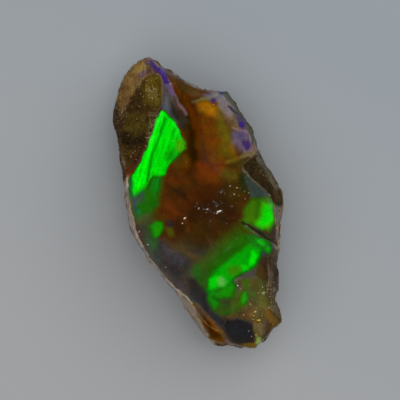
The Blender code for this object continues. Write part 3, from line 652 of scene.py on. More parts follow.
# The crust's own colours
crustPatches = [
    ("hollow", [(0.6, 20.7), (0.8, 19.9), (0.3, 18.0), (-0.5, 16.0), (-1.5, 15.2), (-2.9, 13.0),
     (-4.4, 11.1), (-6.2, 9.7), (-8.5, 7.5), (-9.0, 8.0), (-8.6, 10.9), (-8.1, 14.5), (-6.5, 16.8),
     (-4.8, 18.6), (-3.3, 19.7), (-2.0, 20.6), (-0.4, 21.0)], rgb(66, 50, 14), 0.25, 1.0),
    ("hollowGold", [(-0.1, 20.8), (0.8, 20.0), (0.2, 18.0), (-0.6, 16.3), (-1.9, 16.3), (-2.7, 17.4),
     (-1.9, 19.8), (-1.0, 20.6)], rgb(104, 88, 12), 0.5, 0.9),
    ("hollowUmber", [(-6.3, 16.7), (-4.6, 18.5), (-3.0, 19.0), (-3.2, 16.2), (-4.9, 13.3), (-4.2, 11.8),
     (-5.8, 10.8), (-7.8, 11.5), (-7.6, 14.3)], rgb(52, 38, 11), 0.4, 0.85),
    ("hollowBlack", [(-7.8, 14.2), (-4.9, 13.7), (-5.1, 11.7), (-7.4, 12.0), (-8.3, 12.9)], rgb(28, 20, 7),
     0.4, 0.8),
    ("hollowOlive", [(-5.9, 16.5), (-4.1, 16.5), (-2.5, 15.2), (-3.5, 13.4), (-6.1, 12.9), (-6.8, 14.6)],
     rgb(76, 64, 14), 0.5, 0.7),
    ("hollowRed", [(-9.0, 8.0), (-5.9, 11.2), (-4.6, 11.3), (-7.3, 8.8), (-8.6, 8.1)], rgb(70, 32, 8), 0.3,
     0.7),
    ("hollowRust", [(-9.2, 9.2), (-8.5, 9.2), (-7.5, 8.6), (-8.2, 7.8), (-9.4, 7.1), (-10.0, 7.1),
     (-9.7, 8.3)], rgb(98, 48, 14), 0.4, 0.7),
    ("leftRim", [(0.1, 23.5), (0.5, 20.8), (-0.4, 21.0), (-2.0, 20.6), (-3.3, 19.7), (-4.8, 18.6),
     (-6.5, 16.8), (-8.1, 14.5), (-8.3, 16.2), (-6.2, 20.2), (-3.8, 22.3), (-2.0, 23.3)], rgb(112, 88, 46),
     0.3, 0.95),
    ("tipTan", [(-2.1, 23.1), (-0.7, 23.0), (-0.7, 22.0), (-1.8, 21.8), (-2.9, 21.6), (-3.3, 22.1)],
     rgb(146, 128, 66), 0.3, 0.8),
    ("rimViolet", [(-2.4, 21.8), (-0.7, 21.8), (0.1, 21.3), (-1.0, 21.1), (-2.3, 21.0)], rgb(100, 86, 104),
     0.3, 0.7),
    ("rimTan", [(-5.5, 19.9), (-4.0, 21.2), (-3.0, 21.6), (-3.1, 21.0), (-4.8, 19.6), (-5.8, 18.6)],
     rgb(124, 98, 54), 0.3, 0.8),
    ("rimLow", [(-7.4, 17.7), (-6.3, 17.1), (-7.8, 14.4), (-8.9, 11.9), (-9.1, 13.6)], rgb(62, 44, 20), 0.5,
     0.95),
    ("rightWedge", [(7.7, 3.4), (9.5, 4.0), (10.5, 4.7), (11.2, 3.3), (11.6, 1.1), (12.0, -1.3),
     (11.8, -3.3), (11.0, -5.0), (10.1, -3.8), (10.1, -2.2), (9.1, -0.6), (8.3, 1.1), (7.7, 2.5)],
     rgb(46, 36, 12), 0.2, 1.0),
    ("wedgeOlive", [(9.2, 3.6), (10.3, 3.7), (10.9, 1.4), (11.1, -0.3), (9.9, -0.1), (9.3, 1.6)],
     rgb(52, 42, 14), 0.3, 0.7),
    ("wedgeRed", [(11.3, 0.4), (11.7, -1.4), (11.6, -3.2), (10.7, -3.5), (10.7, -1.4)], rgb(72, 58, 34),
     0.3, 0.7),
    ("wedgeDark", [(9.0, 0.7), (10.2, -0.6), (10.5, -2.4), (10.0, -3.2), (9.5, -1.2)], rgb(36, 29, 12), 0.3,
     0.7),
    ("wedgeEdge", [(10.2, 7.2), (10.4, 5.2), (11.0, 2.5), (11.4, 0.0), (11.8, -1.9), (11.0, -1.6),
     (10.6, 0.9), (10.0, 3.7), (9.6, 5.6)], rgb(98, 98, 82), 0.25, 0.75),
    ("rightGrey", [(10.2, -3.7), (11.2, -4.5), (10.4, -6.2), (9.5, -7.1), (9.6, -5.5)], rgb(102, 101, 94),
     0.2, 0.9),
    ("lowerRight", [(6.7, -10.5), (8.6, -10.2), (6.3, -16.4), (5.5, -17.4), (4.6, -18.1), (4.7, -17.1),
     (4.6, -15.8), (5.5, -14.3), (6.2, -12.1)], rgb(68, 62, 50), 0.25, 0.95),
    ("lowerRightDark", [(6.7, -12.3), (7.9, -12.1), (7.0, -14.4), (6.2, -14.4)], rgb(44, 38, 28), 0.3, 0.8),
    ("lowerRightBrown", [(5.0, -14.6), (5.5, -15.5), (5.1, -16.6), (4.7, -15.8)], rgb(78, 56, 32), 0.3,
     0.8),
    ("tipSide", [(4.4, -16.9), (5.6, -16.7), (6.2, -19.3), (5.2, -21.2), (4.0, -19.8)], rgb(74, 68, 44),
     0.35, 0.85),
    ("leftStrip", [(-10.2, 5.0), (-9.5, 5.0), (-9.9, 3.2), (-10.1, 0.9), (-10.8, 0.7), (-11.1, 2.9),
     (-10.9, 4.6)], rgb(148, 140, 132), 0.2, 0.95),
    ("leftEdge", [(-10.4, 3.7), (-10.3, 1.6), (-10.0, -1.3), (-9.2, -4.3), (-8.3, -7.9), (-7.3, -11.4),
     (-6.5, -13.9), (-8.2, -13.9), (-10.0, -9.2), (-11.1, -2.4), (-11.4, 2.4)], rgb(152, 145, 138), 0.2,
     0.95),
    ("leftDark", [(-7.7, 18.8), (-6.6, 18.7), (-6.6, 16.7), (-8.7, 11.8), (-9.1, 7.7), (-10.1, 7.1),
     (-9.4, 12.0)], rgb(54, 42, 26), 0.3, 0.95),
]
# Where tiny bright grains are scattered: outline, softness, how dense
sparklePatches = [
    ("hollowGold", [(-2.0, 19.4), (-0.9, 19.2), (-0.2, 17.9), (-0.4, 16.6), (-1.2, 16.7), (-2.1, 17.6)],
     0.3, 1.0),
    ("hollowEdge", [(-2.2, 16.2), (-1.4, 15.3), (-2.3, 14.0), (-3.8, 11.7), (-4.9, 10.9), (-3.8, 13.3)],
     0.25, 1.0),
    ("hollowAll", [(-0.6, 20.6), (-0.9, 16.2), (-4.4, 11.0), (-8.4, 8.2), (-8.9, 11.0), (-8.0, 14.6),
     (-4.8, 18.2)], 0.5, 0.06),
    ("hollowTop", [(-3.0, 20.6), (-0.8, 21.0), (0.8, 20.3), (-0.9, 19.2), (-3.0, 19.0)], 0.5, 0.25),
    ("chipGround", [(-0.3, -15.9), (3.2, -16.2), (4.2, -18.4), (2.0, -21.9), (0.5, -21.3), (1.1, -19.0),
     (-0.3, -17.2)], 0.4, 0.11),
    ("lowerEdge", [(5.0, -14.6), (5.9, -14.3), (6.0, -16.3), (4.7, -19.1), (4.3, -18.0)], 0.3, 0.4),
    ("tipLight", [(-2.1, 23.1), (-0.4, 22.7), (-2.1, 21.5), (-3.5, 21.4)], 0.4, 0.3),
    ("glintSpecks", [(-1.2, 0.7), (2.2, 0.1), (4.6, -1.2), (3.7, -3.3), (1.0, -2.3), (-1.8, -0.9)], 0.4,
     0.035),
    ("rightSpecks", [(4.1, 1.6), (7.6, 0.6), (7.1, -1.1), (5.4, -1.3), (3.6, -0.2)], 0.4, 0.045),
    ("rightCrust", [(9.2, 4.0), (11.0, 3.8), (11.4, 0.4), (11.6, -2.3), (10.5, -2.0), (9.8, 0.6)], 0.3,
     0.07),
    ("leftCrust", [(-7.1, 18.4), (-5.9, 18.1), (-7.1, 14.3), (-8.2, 13.6)], 0.4, 0.15),
]


def fromOutlines(points):
    # The stone's points in the plan that the outlines are drawn in, with their borders strayed
    look = patchLook
    axis = np.array(photo["centre"])
    nearer = cameraAway / (cameraAway + photo["plane"] - points[:, 2:])
    plan = (points[:, :2] - axis) * nearer + axis + np.array(photo["measured"])
    stray = np.array([noise.noise_vector(Vector(p) / look["wanderSize"]) for p in points])
    fineSize = look["wanderSize"] * look["fineSize"]
    fine = np.array([noise.noise_vector(Vector(p) / fineSize) for p in points])
    return plan + look["wander"] * stray[:, :2] + look["wander"] * look["fineWander"] * fine[:, :2]


def distanceToLine(plan, line, closed):
    corners = np.array(line, dtype=float)
    ends = np.roll(corners, -1, axis=0) if closed else corners[1:]
    starts = corners if closed else corners[:-1]
    nearest = np.full(len(plan), 1e9)
    for start, end in zip(starts, ends):
        along = end - start
        share = np.clip(((plan - start) @ along) / (along @ along), 0, 1)
        nearest = np.minimum(nearest, np.linalg.norm(plan - start - share[:, None] * along, axis=1))
    return nearest


def insideOf(plan, outline):
    corners = np.array(outline, dtype=float)
    inside = np.zeros(len(plan), dtype=bool)
    for (x0, y0), (x1, y1) in zip(corners, np.roll(corners, -1, axis=0)):
        if y0 == y1:
            continue
        crosses = (plan[:, 1] < y0) != (plan[:, 1] < y1)
        inside ^= crosses & (plan[:, 0] < x0 + (plan[:, 1] - y0) * (x1 - x0) / (y1 - y0))
    return inside


def areaMask(plan, outline, soft):
    far = distanceToLine(plan, outline, True)
    signed = np.where(insideOf(plan, outline), far, -far)
    return ramp(signed, -soft, soft)


def lineMask(plan, line, half, soft):
    return 1 - ramp(distanceToLine(plan, line, False), half, half + soft)


def blended(colours, colour, mask):
    return colours * (1 - mask[:, None]) + np.array(colour[:3]) * mask[:, None]


def paintedColours(points, plan, seen, glass):
    look = patchLook
    shift = Vector(look["crustToneShift"])
    crustTone = np.array([noise.noise(Vector(p) / look["crustToneSize"] + shift) for p in points])
    colours, crust = [np.tile(np.array(look[name][:3]), (len(points), 1)) for name in ("glass", "crust")]
    crust = blended(crust, look["paleCrust"], ramp(crustTone, *look["paleWhere"]))
    crust = blended(crust, look["darkCrust"], ramp(-crustTone, *look["darkWhere"]))
    for _, outline, colour, soft, strength in crustPatches:
        crust = blended(crust, colour, areaMask(plan, outline, soft) * strength * seen)
    for _, outline, colour, soft, strength in bodyPatches:
        colours = blended(colours, colour, areaMask(plan, outline, soft) * strength * seen)
    colours = crust * (1 - glass[:, None]) + colours * glass[:, None]
    for _, line, colour, half, soft, strength in bodyLines:
        colours = blended(colours, colour, lineMask(plan, line, half, soft) * strength * seen)
    return colours


def flashColours(plan, shown):
    colours = np.zeros((len(plan), 3))
    for _, outline, colour, soft, strength in flashPatches:
        colours = blended(colours, colour, areaMask(plan, outline, soft) * strength)
    for _, line, half, soft, strength in flashLines:
        colours *= 1 - (lineMask(plan, line, half, soft) * strength)[:, None]
    return colours * shown[:, None]


# The body's outlines and lines by name, for the steps and lips that follow them
bodyOutlines = {row[0]: row[1] for row in bodyPatches + bodyLines}
# Steps in the broken surface: outline, depth, how it tilts to the side and along
facets = [
    ("navySlab", bodyOutlines["navySlab"], 0.28, (0.05, 0.04)),
    ("sliver", bodyOutlines["oliveSliver"], 0.1, (0.1, -0.1)),
    ("amberFacet", bodyOutlines["amberFacet"], 0.34, (0.3, 0.1)),
    ("amberFacetDark", bodyOutlines["amberFacetDark"], 0.55, (0.1, -0.25)),
    ("brownFacet", bodyOutlines["brownFacet"], 0.4, (0.25, 0.05)),
    ("greyChip", bodyOutlines["greyChip"], 0.18, (-0.05, 0.1)),
    ("chipBowl", [(1.5, -12.5), (4.1, -13.5), (5.0, -15.6), (4.4, -18.0), (2.2, -17.8), (0.4, -16.5),
     (0.3, -14.2)], 0.16, (0.03, 0.0)),
    ("wedge", [(7.7, 3.3), (9.5, 4.0), (10.9, 4.3), (11.3, 2.5), (12.0, -1.3), (11.8, -3.3), (11.0, -5.0),
     (10.1, -3.8), (10.1, -2.2), (9.1, -0.6), (8.3, 1.1), (7.7, 2.5)], 0.22, (0.02, 0.02)),
    ("veilStep", [(8.8, 12.4), (9.4, 11.4), (10.2, 10.5), (10.6, 9.3), (10.6, 7.7), (9.9, 8.2), (9.1, 8.8),
     (8.8, 10.6)], 0.16, (0.0, 0.0)),
    ("footStep", bodyOutlines["footAmber"], 0.22, (0.0, 0.0)),
]
# Thin raised lips: line, half width, height
lips = [
    ("frontRim", [(-9.3, 7.3), (-9.9, 5.5), (-10.3, 3.3), (-10.8, 1.1), (-10.9, -0.8), (-10.1, -2.9),
     (-9.0, -5.2), (-7.9, -7.6), (-6.8, -10.1), (-5.7, -12.1), (-4.7, -14.4)], 0.05, 0.07),
    ("ledge", [(7.1, 4.2), (8.9, 4.3), (10.5, 4.9)], 0.12, 0.10),
    ("sharpRidge", bodyOutlines["sharpRidge"], 0.05, 0.06),
    ("crackLip", [(5.1, -4.9), (5.7, -6.2), (6.4, -7.6), (7.4, -8.9), (8.4, -10.2)], 0.04, 0.05),
    ("wedgeLine", [(7.7, 3.0), (8.3, 1.1), (9.2, -0.8), (10.1, -2.3), (10.1, -4.0)], 0.04, 0.03),
    ("hollowEdge", [(-4.0, 11.7), (-1.5, 15.2), (-0.4, 16.8), (0.5, 18.5), (0.8, 20.2)], 0.05, 0.05),
]


def stepped(points, normals, plan, seen):
    # The stone with its small steps cut in and its lips raised
    for _, outline, depth, tilt in facets:
        drop = depth + (plan - np.mean(outline, axis=0)) @ np.array(tilt)
        points[:, 2] -= areaMask(plan, outline, patchLook["stepSoft"]) * np.maximum(drop, 0) * seen
    for _, line, half, height in lips:
        points += normals * (height * lineMask(plan, line, half, patchLook["lipSoft"]) * seen)[:, None]
    return points


# Where the glass has lost its gloss: outline, softness, how much
dullPatches = [
    ("foot", [(-7.7, -11.7), (-6.4, -14.6), (-4.0, -17.8), (-3.8, -20.7), (-5.3, -21.4), (-8.6, -18.5),
     (-9.0, -12.8)], 0.4, 1.0),
    ("valleyWall", [(1.0, 19.9), (2.9, 18.4), (3.6, 14.9), (3.7, 10.9), (1.8, 5.6), (-0.7, 5.3),
     (0.6, 10.0), (1.0, 14.3), (-0.6, 16.5)], 0.5, 1.0),
    ("topEdge", [(2.2, 19.8), (5.1, 16.8), (9.0, 14.5), (7.7, 13.0), (4.3, 14.7), (2.0, 17.1)], 0.5, 0.6),
    ("tipFacets", [(4.4, -11.3), (7.3, -12.0), (5.6, -16.6), (5.1, -20.3), (1.7, -21.9), (0.7, -18.0),
     (3.0, -17.2), (4.0, -14.4)], 0.4, 0.7),
]


def strongest(plan, patches):
    # How much each point is covered: the most that any one patch gives it
    total = np.zeros(len(plan))
    for _, outline, soft, strength in patches:
        total = np.maximum(total, areaMask(plan, outline, soft) * strength)
    return total


def store(mesh, name, values):
    # Colours go in as vectors, because a volume in the finish turns a colour attribute black
    kind, field = ("FLOAT", "value") if values.ndim == 1 else ("FLOAT_VECTOR", "vector")
    made = mesh.attributes.new(name, kind, "POINT")
    made.data.foreach_set(field, np.ascontiguousarray(values, dtype=np.float32).ravel())


# Geometry trees

def newTree(name, inputs):
    # A tree that takes a mesh, the named inputs, each of its value's kind, and a finish
    kinds = {float: "Float", int: "Int", str: "String"}
    sockets = {key: kinds[type(value)] for key, value in inputs.items()}
    tree = bpy.data.node_groups.new(name, "GeometryNodeTree")
    for key, kind in {"Geometry": "Geometry", **sockets, "Finish": "Material"}.items():
        tree.interface.new_socket(key, in_out="INPUT", socket_type="NodeSocket" + kind)
    tree.interface.new_socket("Geometry", in_out="OUTPUT", socket_type="NodeSocketGeometry")
    graph = Graph(tree)
    return graph, graph.add("NodeGroupInput")


def endTree(graph, given, geometry):
    real = graph.add("GeometryNodeRealizeInstances", None, {"Geometry": geometry})[0]
    done = graph.add("GeometryNodeSetMaterial", None, {"Geometry": real, "Material": given["Finish"]})[0]
    graph.add("NodeGroupOutput", None, {"Geometry": done})
    return graph.tree


def attributeOf(graph, name, kind="FLOAT"):
    return graph.add("GeometryNodeInputNamedAttribute", {"data_type": kind}, {"Name": name})[0]


def ballsOn(graph, points, radius, turn, shape):
    ball = graph.add("GeometryNodeMeshIcoSphere", None, {"Radius": radius, "Subdivisions": 1})[0]
    return graph.add("GeometryNodeInstanceOnPoints", None,
                     {"Points": points, "Instance": ball, "Rotation": turn, "Scale": shape})[0]


def grown(piece, tree, inputs, finish):
    # The piece as the tree makes it, with the tree's inputs set by their names
    modifier = piece.modifiers.new(tree.name, "NODES")
    modifier.node_group = tree
    values = {**inputs, "Finish": finish}
    for item in tree.interface.items_tree:
        if item.item_type == "SOCKET" and item.in_out == "INPUT" and item.name in values:
            modifier[item.identifier] = values[item.name]
    madePlain(piece)
    return piece


def reliefTree():
    # Grainy relief on the crust and shell waves on the glass, as moves along the normal
    graph, given = newTree("stoneRelief", reliefShape)
    place = graph.add("GeometryNodeInputPosition")["Position"]
    normal = graph.add("GeometryNodeInputNormal")["Normal"]
    grains = graph.add("ShaderNodeTexNoise", {"noise_dimensions": "4D"},
                       {"Vector": place, "W": given["Seed"], "Scale": 1 / given["Grain Size"], "Detail": 3.0,
                        "Roughness": 0.65})["Fac"]
    pits = graph.add("ShaderNodeTexVoronoi", {"voronoi_dimensions": "4D"},
                     {"Vector": place, "W": given["Seed"], "Scale": 1 / given["Pit Size"]})["Distance"]
    rough = given["Grain Height"] * (grains - 0.5) * 2 - given["Pit Depth"] * (0.4 - pits)
    rise = attributeOf(graph, "crust") * rough + attributeOf(graph, "ripple") * given["Ripple Height"]
    moved = graph.add("GeometryNodeSetPosition", None,
                      {"Geometry": given["Geometry"], "Offset": graph.scaled(normal, rise)})[0]
    smooth = graph.add("GeometryNodeSetShadeSmooth", None, {0: moved})[0]
    return endTree(graph, given, smooth)


def makeStone(finish):
    piece = copiedInMillimetres(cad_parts["rough_opal"], "roughOpal")
    even = piece.modifiers.new("evenFaces", "REMESH")
    even.mode = "VOXEL"
    even.voxel_size = stoneShape["pointSpacing"]
    madePlain(piece)
    mesh = piece.data
    edges, quads = edgesOf(mesh), quadsOf(mesh)
    points = pointsOf(mesh)
    normals = normalsOf(averagedPoints(points, edges, 2), quads)
    glass = ramp(averaged(glassOf(points, normals), edges, 3), *stoneShape["glassShare"])
    seen = averaged(ramp(normals[:, 2], *patchLook["fadeOut"]), edges, 2)
    seen = seen * ramp(points[:, 2], *patchLook["fadeHeight"])
    plan = fromOutlines(points)
    glass += (areaMask(plan, windowOutline, patchLook["stepSoft"]) - glass) * seen
    points = smoothWithinBreaks(points, edges, quads, glass)
    shaped = stepped(points.copy(), normalsOf(points, quads), plan, seen)
    mesh.vertices.foreach_set("co", shaped.ravel())
    print("stone shaped,", len(points), "points")
    fields = {
        "crust": 1 - glass,
        "ripple": rippleOf(points, glass),
        "stoneColour": paintedColours(points, plan, seen, glass),
        "flashColour": flashColours(plan, seen * glass),
        "sparkle": strongest(plan, sparklePatches) * seen,
        "dull": strongest(plan, dullPatches) * seen,
        "level": ramp(normals[:, 2], *patchLook["fibrous"]),
    }
    for name, values in fields.items():
        store(mesh, name, values)
    print("stone painted")
    grown(piece, reliefTree(), reliefShape, finish)
    resting = pointsOf(piece.data)
    resting[:, 2] = np.maximum(resting[:, 2], 0)
    piece.data.vertices.foreach_set("co", resting.ravel())
    return piece


def finished(piece, name):
    # The piece in metres, named and on its own body
    piece.data.transform(Matrix.Scale(mm, 4))
    piece.data.name = name
    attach(piece, "root")
    print(name, "ready,", len(piece.data.polygons), "faces")


# Grains on the crust, and bright specks where it sparkles

crustGrains = {"Where": "crust", "Density": 2.2, "Smallest": 0.05, "Largest": 0.26, "Flatness": 0.55,
               "Seed": 3}
sparkles = {"Where": "sparkle", "Density": 26.0, "Smallest": 0.03, "Largest": 0.10, "Flatness": 0.6,
            "Seed": 8}
grainSpread = {
    "clearOfGround": (0.3, 0.8),    # the heights between which grains set in
    "leastTurn": (-0.5, -0.5, 0.0),
    "mostTurn": (0.5, 0.5, 6.28),
    "narrowness": 0.8,
}


def anyShare(graph, seed):
    return graph.add("FunctionNodeRandomValue", {"data_type": "FLOAT"}, {2: 0.0, 3: 1.0, "Seed": seed})[1]


def scatterTree():
    look = grainSpread
    graph, given = newTree("scatteredGrains", crustGrains)
    seed = given["Seed"]
    place = graph.add("GeometryNodeInputPosition")["Position"]
    height = graph.add("ShaderNodeSeparateXYZ", None, {"Vector": place})["Z"]
    density = given["Density"] * attributeOf(graph, given["Where"]) * height.between(*look["clearOfGround"])
    spread = graph.add("GeometryNodeDistributePointsOnFaces", {"distribute_method": "RANDOM"},
                       {"Mesh": given["Geometry"], "Density": density, "Seed": seed})
    spin = graph.add("FunctionNodeRandomValue", {"data_type": "FLOAT_VECTOR"},
                     {0: look["leastTurn"], 1: look["mostTurn"], "Seed": seed + 2})[0]
    turn = graph.add("FunctionNodeRotateRotation", {"rotation_space": "LOCAL"},
                     {"Rotation": spread["Rotation"], "Rotate By": spin})[0]
    size = given["Smallest"] + (given["Largest"] - given["Smallest"]) * anyShare(graph, seed) ** 3
    shape = graph.add("ShaderNodeCombineXYZ", None,
                      {"X": size, "Y": size * look["narrowness"], "Z": size * given["Flatness"]})[0]
    placed = ballsOn(graph, spread["Points"], 1.0, turn, shape)
    toned = graph.add("GeometryNodeStoreNamedAttribute", {"data_type": "FLOAT", "domain": "INSTANCE"},
                      {"Geometry": placed, "Name": "grainTone", "Value": anyShare(graph, seed + 1)})[0]
    return endTree(graph, given, toned)


# Flakes and chips that lie on the window; their white, pink and gold tones are painted highlights, the glints
# where they catch the light

chipGlintShape = {"Size": 0.5}
chipGlintLook = {
    "thickness": 0.35,              # of a chip's width
    "startHeight": 13.0,            # from which a chip's place under its picture is first reckoned
    "tones": {"white": rgb(232, 226, 212), "pink": rgb(226, 192, 206), "gold": rgb(240, 196, 60),
              "pale": rgb(172, 164, 118), "straw": rgb(208, 188, 128)},
}
# Each chip, a painted highlight: place, length, width, turn in degrees, tone
chipsAndGlints = [
    ((-3.1, -1.1), 0.5, 0.26, 35, "white"), ((-3.7, -1.7), 0.26, 0.16, 80, "white"),
    ((-0.6, -0.4), 0.28, 0.14, 20, "pink"), ((0.5, -1.0), 0.34, 0.18, 10, "pink"),
    ((-0.6, 0.3), 0.12, 0.1, 0, "pink"), ((0.6, -1.0), 0.26, 0.18, 60, "pink"),
    ((2.1, -1.9), 0.95, 0.3, 20, "white"), ((1.9, -0.3), 0.12, 0.1, 0, "pink"),
    ((0.0, -0.8), 0.14, 0.1, 0, "pink"), ((4.9, 1.1), 0.2, 0.18, 0, "white"),
    ((5.8, 0.5), 0.22, 0.18, 0, "white"), ((5.1, -0.3), 0.2, 0.18, 0, "white"),
    ((3.8, 0.3), 0.11, 0.1, 0, "white"), ((6.7, -0.4), 0.24, 0.12, 20, "pale"),
    ((7.2, -0.8), 0.11, 0.1, 0, "white"), ((4.2, -1.9), 0.12, 0.1, 0, "pink"),
    ((2.5, -4.0), 0.1, 0.1, 0, "pink"), ((6.4, -1.5), 0.16, 0.1, 70, "pink"),
    ((0.9, -13.3), 0.28, 0.24, 0, "white"), ((1.1, -13.9), 0.36, 0.08, -50, "pale"),
    ((4.3, -14.8), 0.26, 0.2, 40, "straw"), ((3.4, -15.4), 0.2, 0.14, 0, "straw"),
    ((4.1, -15.7), 0.7, 0.55, 20, "pale"), ((-1.0, 0.0), 0.12, 0.08, 0, "pink"),
    ((-0.7, -0.5), 0.2, 0.1, 20, "pink"), ((-0.0, -0.4), 0.1, 0.08, 0, "pink"),
    ((0.2, -0.9), 0.14, 0.08, 30, "pink"), ((0.6, -1.0), 0.24, 0.12, 60, "pink"),
    ((0.9, -1.5), 0.14, 0.08, 0, "pink"), ((1.8, -0.3), 0.1, 0.08, 0, "pink"),
    ((2.1, -0.6), 0.1, 0.08, 0, "pink"), ((2.4, -1.9), 0.5, 0.07, 18, "pink"),
    ((1.7, -2.1), 0.3, 0.2, 60, "pink"), ((-0.7, -1.7), 0.08, 0.07, 0, "pink"),
    ((4.0, -1.8), 0.1, 0.08, 0, "pink"), ((2.0, -17.9), 0.5, 0.3, 10, "straw"),
    ((1.6, -18.4), 0.34, 0.14, 30, "straw"), ((1.3, -18.9), 0.28, 0.16, 0, "straw"),
    ((2.1, -19.3), 0.66, 0.24, 0, "gold"), ((0.1, -20.3), 0.34, 0.1, 60, "pale"),
    ((0.9, -21.2), 0.34, 0.14, 20, "gold"), ((3.8, -20.5), 0.6, 0.12, 45, "gold"),
    ((2.1, -19.8), 0.3, 0.1, 0, "gold"), ((0.2, -21.2), 0.24, 0.1, 70, "straw"),
    ((-9.7, -2.9), 0.24, 0.16, 0, "white"), ((-8.3, -7.0), 0.34, 0.14, 25, "white"),
    ((-10.2, -0.6), 0.22, 0.12, 60, "white"), ((6.8, 13.4), 0.24, 0.12, 60, "straw"),
    ((-9.4, 7.2), 0.2, 0.1, 80, "white"), ((1.8, 18.6), 0.16, 0.1, 60, "white"),
    ((3.1, 15.9), 0.12, 0.1, 0, "pale"), ((-0.6, 10.3), 0.16, 0.12, 0, "straw"),
    ((-0.3, 8.9), 0.12, 0.12, 0, "straw"), ((0.4, 9.2), 0.12, 0.1, 0, "straw"),
    ((0.0, 6.7), 0.12, 0.1, 0, "straw"), ((-10.3, -0.7), 0.16, 0.12, 0, "white"),
    ((-10.7, 0.8), 0.26, 0.14, 50, "pale"), ((9.6, -1.9), 0.2, 0.08, 30, "white"),
    ((10.0, -2.2), 0.24, 0.1, 60, "white"),
]


def chipGlintTree():
    graph, given = newTree("glintingChips", chipGlintShape)
    turn = attributeOf(graph, "chipTurn", "FLOAT_VECTOR")
    shape = attributeOf(graph, "chipGlintShape", "FLOAT_VECTOR")
    return endTree(graph, given, ballsOn(graph, given["Geometry"], given["Size"], turn, shape))


def makeGlintingChips(stone, finish):
    corners = [face.vertices[:] for face in stone.data.polygons]
    surface = BVHTree.FromPolygons([point.co for point in stone.data.vertices], corners)
    axis, shift = np.array(photo["centre"]), np.array(photo["measured"])
    places, turns, shapes, tones = [], [], [], []
    for plan, length, width, turn, tone in chipsAndGlints:
        height = chipGlintLook["startHeight"]
        for _ in range(2):
            nearer = cameraAway / (cameraAway + photo["plane"] - height)
            x, y = (np.array(plan) - shift - axis) / nearer + axis
            found, facing, _, _ = surface.ray_cast(Vector((x, y, 99)), Vector((0, 0, -1)))
            height = found.z
        run = pictureRight * math.cos(math.radians(turn)) + pictureUp * math.sin(math.radians(turn))
        along = (run - facing * facing.dot(run)).normalized()
        places.append(found)
        turns.append(Matrix((along, facing.cross(along), facing)).transposed().to_euler())
        shapes.append((length, width, width * chipGlintLook["thickness"]))
        tones.append(chipGlintLook["tones"][tone][:3])
    mesh = bpy.data.meshes.new("glintingChips")
    mesh.from_pydata(places, [], [])
    for name, values in {"chipTurn": turns, "chipGlintShape": shapes, "chipGlintTone": tones}.items():
        store(mesh, name, np.array(values))
    return grown(added("glintingChips", mesh), chipGlintTree(), chipGlintShape, finish)


# Finishes

opalLook = {
    "clarity": 0.40,                # share of the clear amber body that is see-through
    "bodyGain": 1.15,
    "bodyGlow": 0.30,               # light that the amber gives back from inside
    "flashPower": 1.0,
    "waterTint": (0.87, 0.56, 0.03, 1.0),
    "waterDensity": 300.0,          # per metre
    "clearTint": (1.0, 0.90, 0.72, 1.0),
    "index": 1.42,
    "gloss": 0.8,
    "crustGain": 1.05,
    "crustRoughness": 0.78,
    "hazeBlue": (0.008, 0.09),      # the blue in the body's colour from clear to cloudy
    "kiteStart": (3.0, 6.0),        # where, along the stone, the bright facet's streaks set in
    "flashEdge": (0.0, 0.11),       # the flash's strength from body colour to flash alone
    "redHue": (1.14, 0.88, 0.8, 1.0),
    "oliveHue": (0.82, 1.16, 1.1, 1.0),
    "rustHue": (1.16, 0.90, 0.76, 1.0),
    "greyHue": (0.95, 1.02, 1.0, 1.0),
    # Even noises: scale, detail, roughness
    "mottle": (0.55, 5.0, 0.62),
    "dust": (3.2, 3.0, 0.6),
    "drift": (0.42, 5.0, 0.66),
    "blotch": (0.9, 5.0, 0.7),
    "grit": (5.5, 4.0, 0.7),
    "wave": (0.9, 4.0, 0.45),
    # Noises drawn out one way: the way in degrees, length, width, detail
    "streak": (53.0, 6.0, 0.42, 3.0),
    "fibre": (68.0, 2.6, 0.24, 4.0),
    "crumbScale": 4.6,
    # Bumps: strength, height in millimetres
    "crustBump": (0.8, 0.16),
    "glassBump": (0.30, 0.12),
}


def newFinish(name):
    material = bpy.data.materials.new(name)
    material.use_nodes = True
    return material, Graph(material.node_tree)


def inMillimetres(graph):
    return graph.scaled(graph.add("ShaderNodeTexCoord")["Object"], 1 / mm)


def painted(graph, name, output="Fac"):
    return graph.add("ShaderNodeAttribute", {"attribute_name": name})[output]


def plainNoise(graph, place, scale, detail, roughness=0.6):
    return graph.add("ShaderNodeTexNoise", None, {"Vector": place, "Scale": scale, "Detail": detail,
                                                  "Roughness": roughness})["Fac"]


def stretchedNoise(graph, place, run, long, across, detail):
    # Noise drawn out along the way that streaks or fibres run
    turned = graph.add("ShaderNodeMapping", {"vector_type": "TEXTURE"},
                       {"Vector": place, "Rotation": (0.0, 0.0, math.radians(run)),
                        "Scale": (long, across, across)})[0]
    return graph.add("ShaderNodeTexNoise", None, {"Vector": turned, "Scale": 1.0, "Detail": detail})["Fac"]


def bump(graph, strength, height, shape):
    return graph.add("ShaderNodeBump", None, {"Strength": strength, "Distance": height * mm,
                                              "Height": shape})["Normal"]


def principled(graph, sockets):
    return graph.add("ShaderNodeBsdfPrincipled", None, sockets)[0]


def plainFinish(material, graph, sockets):
    # A finish that is one surface and nothing more
    graph.add("ShaderNodeOutputMaterial", None, {"Surface": principled(graph, sockets)})
    return material


